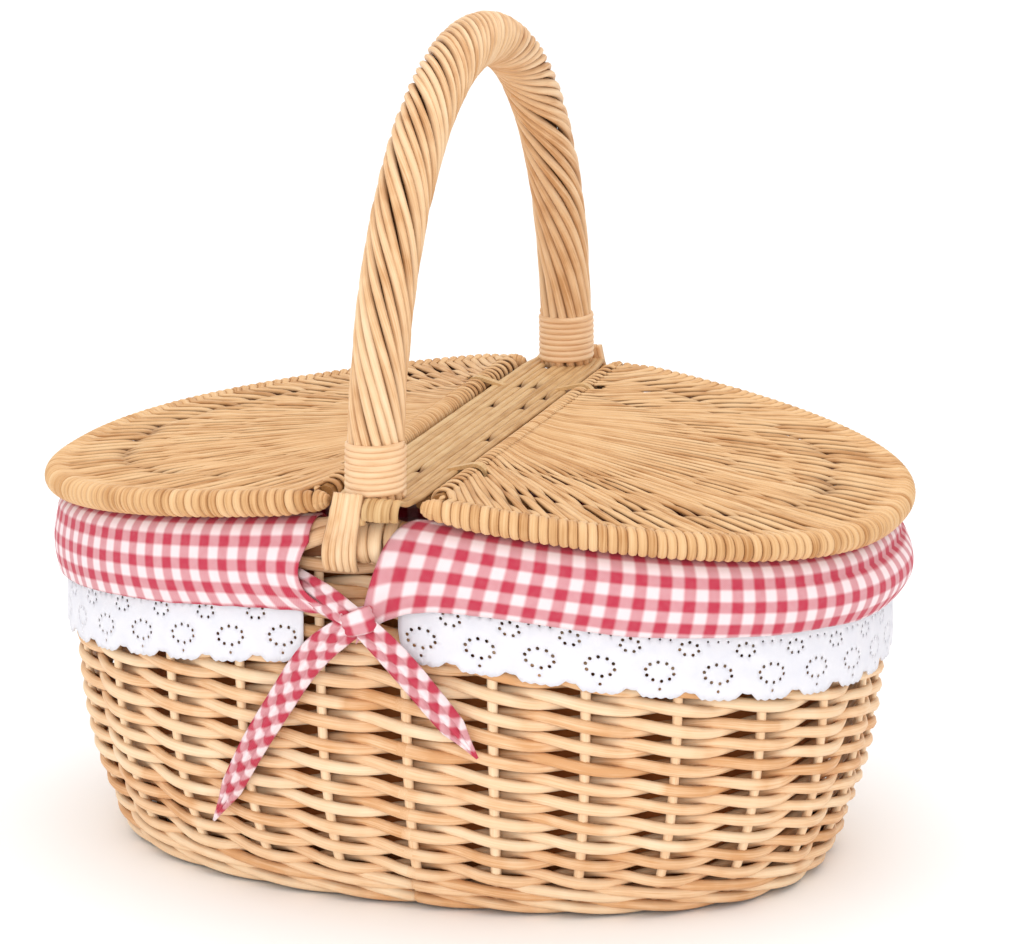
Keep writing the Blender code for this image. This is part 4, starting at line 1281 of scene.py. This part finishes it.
# %% [markdown]
# ## The ties
# The corners of the two flaps run on as narrow pleated strips. They cross at the foot of the
# handle, a short band of the same cloth holds the crossing, and the ends hang down as pointed
# tails. A strip is listed as places along it, in millimetres: how far right, how high, how far it
# stands off the side, and how wide it is. Both strips start hidden under a flap. The cloth is cut
# on the slant, so its checks run at 45 degrees to the strip.

# %% Tie the corners
strip_steps, strip_rows = 56, 19
left_lead = ((-38, 152.5, 2.5, 12), (-20, 146, 8.0, 14), (-4.5, 141, 15.5, 10),
             (5.5, 131, 13, 12.5), (13.5, 120, 8.5, 13), (30.5, 98, 5, 12), (44, 80.3, 3.6, 9))
right_lead = ((5, 148, 1.5, 6), (0, 144, 6.5, 8), (-4.5, 140.5, 12.0, 10), (-16, 132.5, 10.5, 12),
              (-25, 125.4, 8.0, 13.5), (-34, 115, 6.5, 13), (-60, 75, 4.5, 12), (-84, 34, 3.6, 9))
band_middle = (-4.4, 141, 14.2)
cloth_fullness = 1.35


def front_place(x, height, stand):
    """A point that stands off the front of the side, all in millimetres."""
    inset = foot_inset * max(1 - height * mm / rim_mid_height, 0) ** foot_roundness - stand * mm
    y = -oval_reach(side_half_length - inset, side_half_width - inset, x * mm)
    return np.array([x * mm, float(y), height * mm])


def hang_tail(name, node, lead, turn):
    """One pleated strip along its places, with a pointed end."""
    lead = np.array(lead, float)
    path = np.array([front_place(*row[:3]) for row in lead])
    gone = travel(path)
    share = np.linspace(0, 1, strip_steps)
    even = share * gone[-1]
    line = np.stack([np.interp(even, gone, path[:, axis]) for axis in range(3)], -1)
    half = np.interp(even, gone, lead[:, 3]) * mm / 2
    for _ in range(10):
        for smoothed in (line, half):
            smoothed[1:-1] = (smoothed[:-2] + 2 * smoothed[1:-1] + smoothed[2:]) / 4
    half = half * np.clip((1.012 - share) * 6.5, 0.04, 1)
    run = unit(np.gradient(line, axis=0))
    across = unit(np.cross(run, unit(line * (0.25, 1, 0))))
    outward = np.cross(across, run)
    cross = np.linspace(-1, 1, strip_rows)
    pleat = 0.9 * mm * np.cos(cross * math.tau * 1.6 + 0.4) + 1.1 * mm * (1 - cross ** 2)
    grid = (line[:, None] + across[:, None] * (half[:, None] * cross)[..., None]
            + outward[:, None] * (pleat * np.clip(half / (5 * mm), 0, 1)[:, None])[..., None])
    cloth_y = np.broadcast_to(even[:, None], grid.shape[:2])
    cloth_x = half[:, None] * cross * cloth_fullness
    slanted = join(cloth_x + cloth_y, cloth_y - cloth_x) / math.sqrt(2)
    piece = sew(skin_sheet(name, carry(grid, turn)), slanted, node)


def tie_band(end, turn):
    """The short band round the crossing, as a pleated ring of cloth."""
    middle = front_place(*band_middle)
    angle = np.linspace(0, math.tau, 49)[:, None]
    level = np.linspace(-1, 1, 13)
    swell = 1 + 0.10 * (1 - level ** 2) + 0.05 * np.cos(level * 9)
    half_wide, half_deep, half_tall = 6.4 * mm, 4.2 * mm, 5.1 * mm
    tilt = 0.35
    wide = half_wide * np.cos(angle) * swell
    tall = half_tall * level * (1 + 0.08 * np.sin(2 * angle))
    deep = -half_deep * np.sin(angle) * swell
    grid = middle + join(wide * math.cos(tilt) - tall * math.sin(tilt), deep,
                         wide * math.sin(tilt) + tall * math.cos(tilt))
    ring = math.tau * math.sqrt((half_wide ** 2 + half_deep ** 2) / 2)
    piece = sew(skin_sheet("tied_knot_" + end, carry(grid[:, ::-1], turn)),
                join(angle / math.tau * ring, level * half_tall), "tie_knot_" + end)


for end, end_turn in both_ends:
    tie_band(end, end_turn)
    hang_tail("tail_" + end + "_right", "tie_strip_" + end + "_left", left_lead, end_turn)
    hang_tail("tail_" + end + "_left", "tie_strip_" + end + "_right", right_lead, end_turn)

# %% [markdown]
# ## Pieces that keep their solid shape
# The hinge bars, the rails, the handle's core and the cane loops have the right shape already, so
# they only need a finish. Their points carry no fibre values, so a plain willow that reads the
# place in space is used, drawn out along the bars. The handle's core is far darker: painted shade
# for the gaps between the handle's rods.

# %% Finish the carried-over solids
bar_grain = [(fibre_width, fibre_length, fibre_width)]


def plain_willow(name, light, dark, roughness):
    """Willow for a solid that has no fibre values."""
    finish = {"Roughness": roughness, "Specular IOR Level": 0.3}
    return two_tones(name, light, dark, bar_grain, (0.4, 0.1 * mm), finish, in_space=True)


rail_willow = plain_willow("willow_bars", "#B98850", "#7E5024", 0.55)
# The handle's core is darker willow, painted shade for the gaps between the rods.
shaded_core_willow = plain_willow("painted_shade_core_willow", "#7A4A20", "#4C2A10", 0.6)
loop_cane = plain_willow("cane_loops", "#E8C692", "#C09058", 0.48)
finishes = {"loop": loop_cane, "core": shaded_core_willow}
for node_name, node in frame["nodes"].items():
    if not node.hide_render:
        node.data.materials.clear()
        fitting = [finishes[word] for word in finishes if word in node_name]
        node.data.materials.append(fitting[0] if fitting else rail_willow)
        print("keeps its solid shape:", node_name)

# %% [markdown]
# ## Stage, light and camera
# The basket stands on white paper in soft, even light, as in a catalogue picture. Most of the light
# comes from a white room. A large soft box beside the camera lights the front, one overhead keeps
# the paper white, and a wide glow from above softens what is left of the shadows. Blender's
# Standard view shows the colours as they are given. The camera is two metres away with a long
# lens, 17.8 degrees round from the front and 14.25 degrees up.

# %% Set up the studio
floor_half = 60.0
room_light = 0.88
paper_finish = {"Roughness": 0.9, "Specular IOR Level": 0.1}
floor_corners = [(x * floor_half, y * floor_half, 0) for x, y in ((-1, -1), (1, -1), (1, 1), (-1, 1))]
floor_mesh = bpy.data.meshes.new("studio_floor")
floor_mesh.from_pydata(floor_corners, [], [(0, 1, 2, 3)])
floor_mesh.materials.append(two_tones("white_paper", "#FDFDFD", "#FBFBFB", [(1 / 3,) * 3], None,
                                      paper_finish, in_space=True, detail=2.0))
floor = put_in_scene("studio_floor", floor_mesh)

world = bpy.data.worlds.new("soft_room")
world.use_nodes = True
fill(world.node_tree, world.node_tree.nodes["Background"], {"Color": (1, 1, 1, 1), "Strength": room_light})
bpy.context.scene.world = world
bpy.context.scene.view_settings.view_transform = "Standard"


def softbox(name, place, aim, size, watts):
    """A square area light that faces a point."""
    light = bpy.data.lights.new(name, "AREA")
    light.shape = "SQUARE"
    light.size = size
    light.energy = watts
    lamp = put_in_scene(name, light)
    lamp.location = place
    lamp.rotation_euler = (Vector(place) - Vector(aim)).to_track_quat("Z", "Y").to_euler()


softbox("front_light", (0.4, -2.3, 0.95), (0, 0, 0.15), 1.3, 12)
softbox("top_light", (0.1, -0.2, 2.6), (0, 0, 0.1), 2.2, 9)
glow = bpy.data.lights.new("overhead_glow", "SUN")
glow.energy = 0.75
glow.angle = math.radians(80)
put_in_scene("overhead_glow", glow)

azimuth, elevation = math.radians(17.8), math.radians(14.25)
camera_distance = 2.0
aim_right, aim_height = 15.8 * mm, 170.9 * mm
focal_pixels, picture_width, sensor_width = 4408, 1024, 36.0
aim = Vector((aim_right * math.cos(azimuth), aim_right * math.sin(azimuth), aim_height))
level_back = math.cos(elevation)
back = Vector((math.sin(azimuth) * level_back, -math.cos(azimuth) * level_back, math.sin(elevation)))
camera_data = bpy.data.cameras.new("catalogue_camera")
camera_data.sensor_width = sensor_width
camera_data.lens = focal_pixels / picture_width * sensor_width
camera = put_in_scene("catalogue_camera", camera_data)
camera.location = aim + back * camera_distance
camera.rotation_euler = back.to_track_quat("Z", "Y").to_euler()
bpy.context.scene.camera = camera
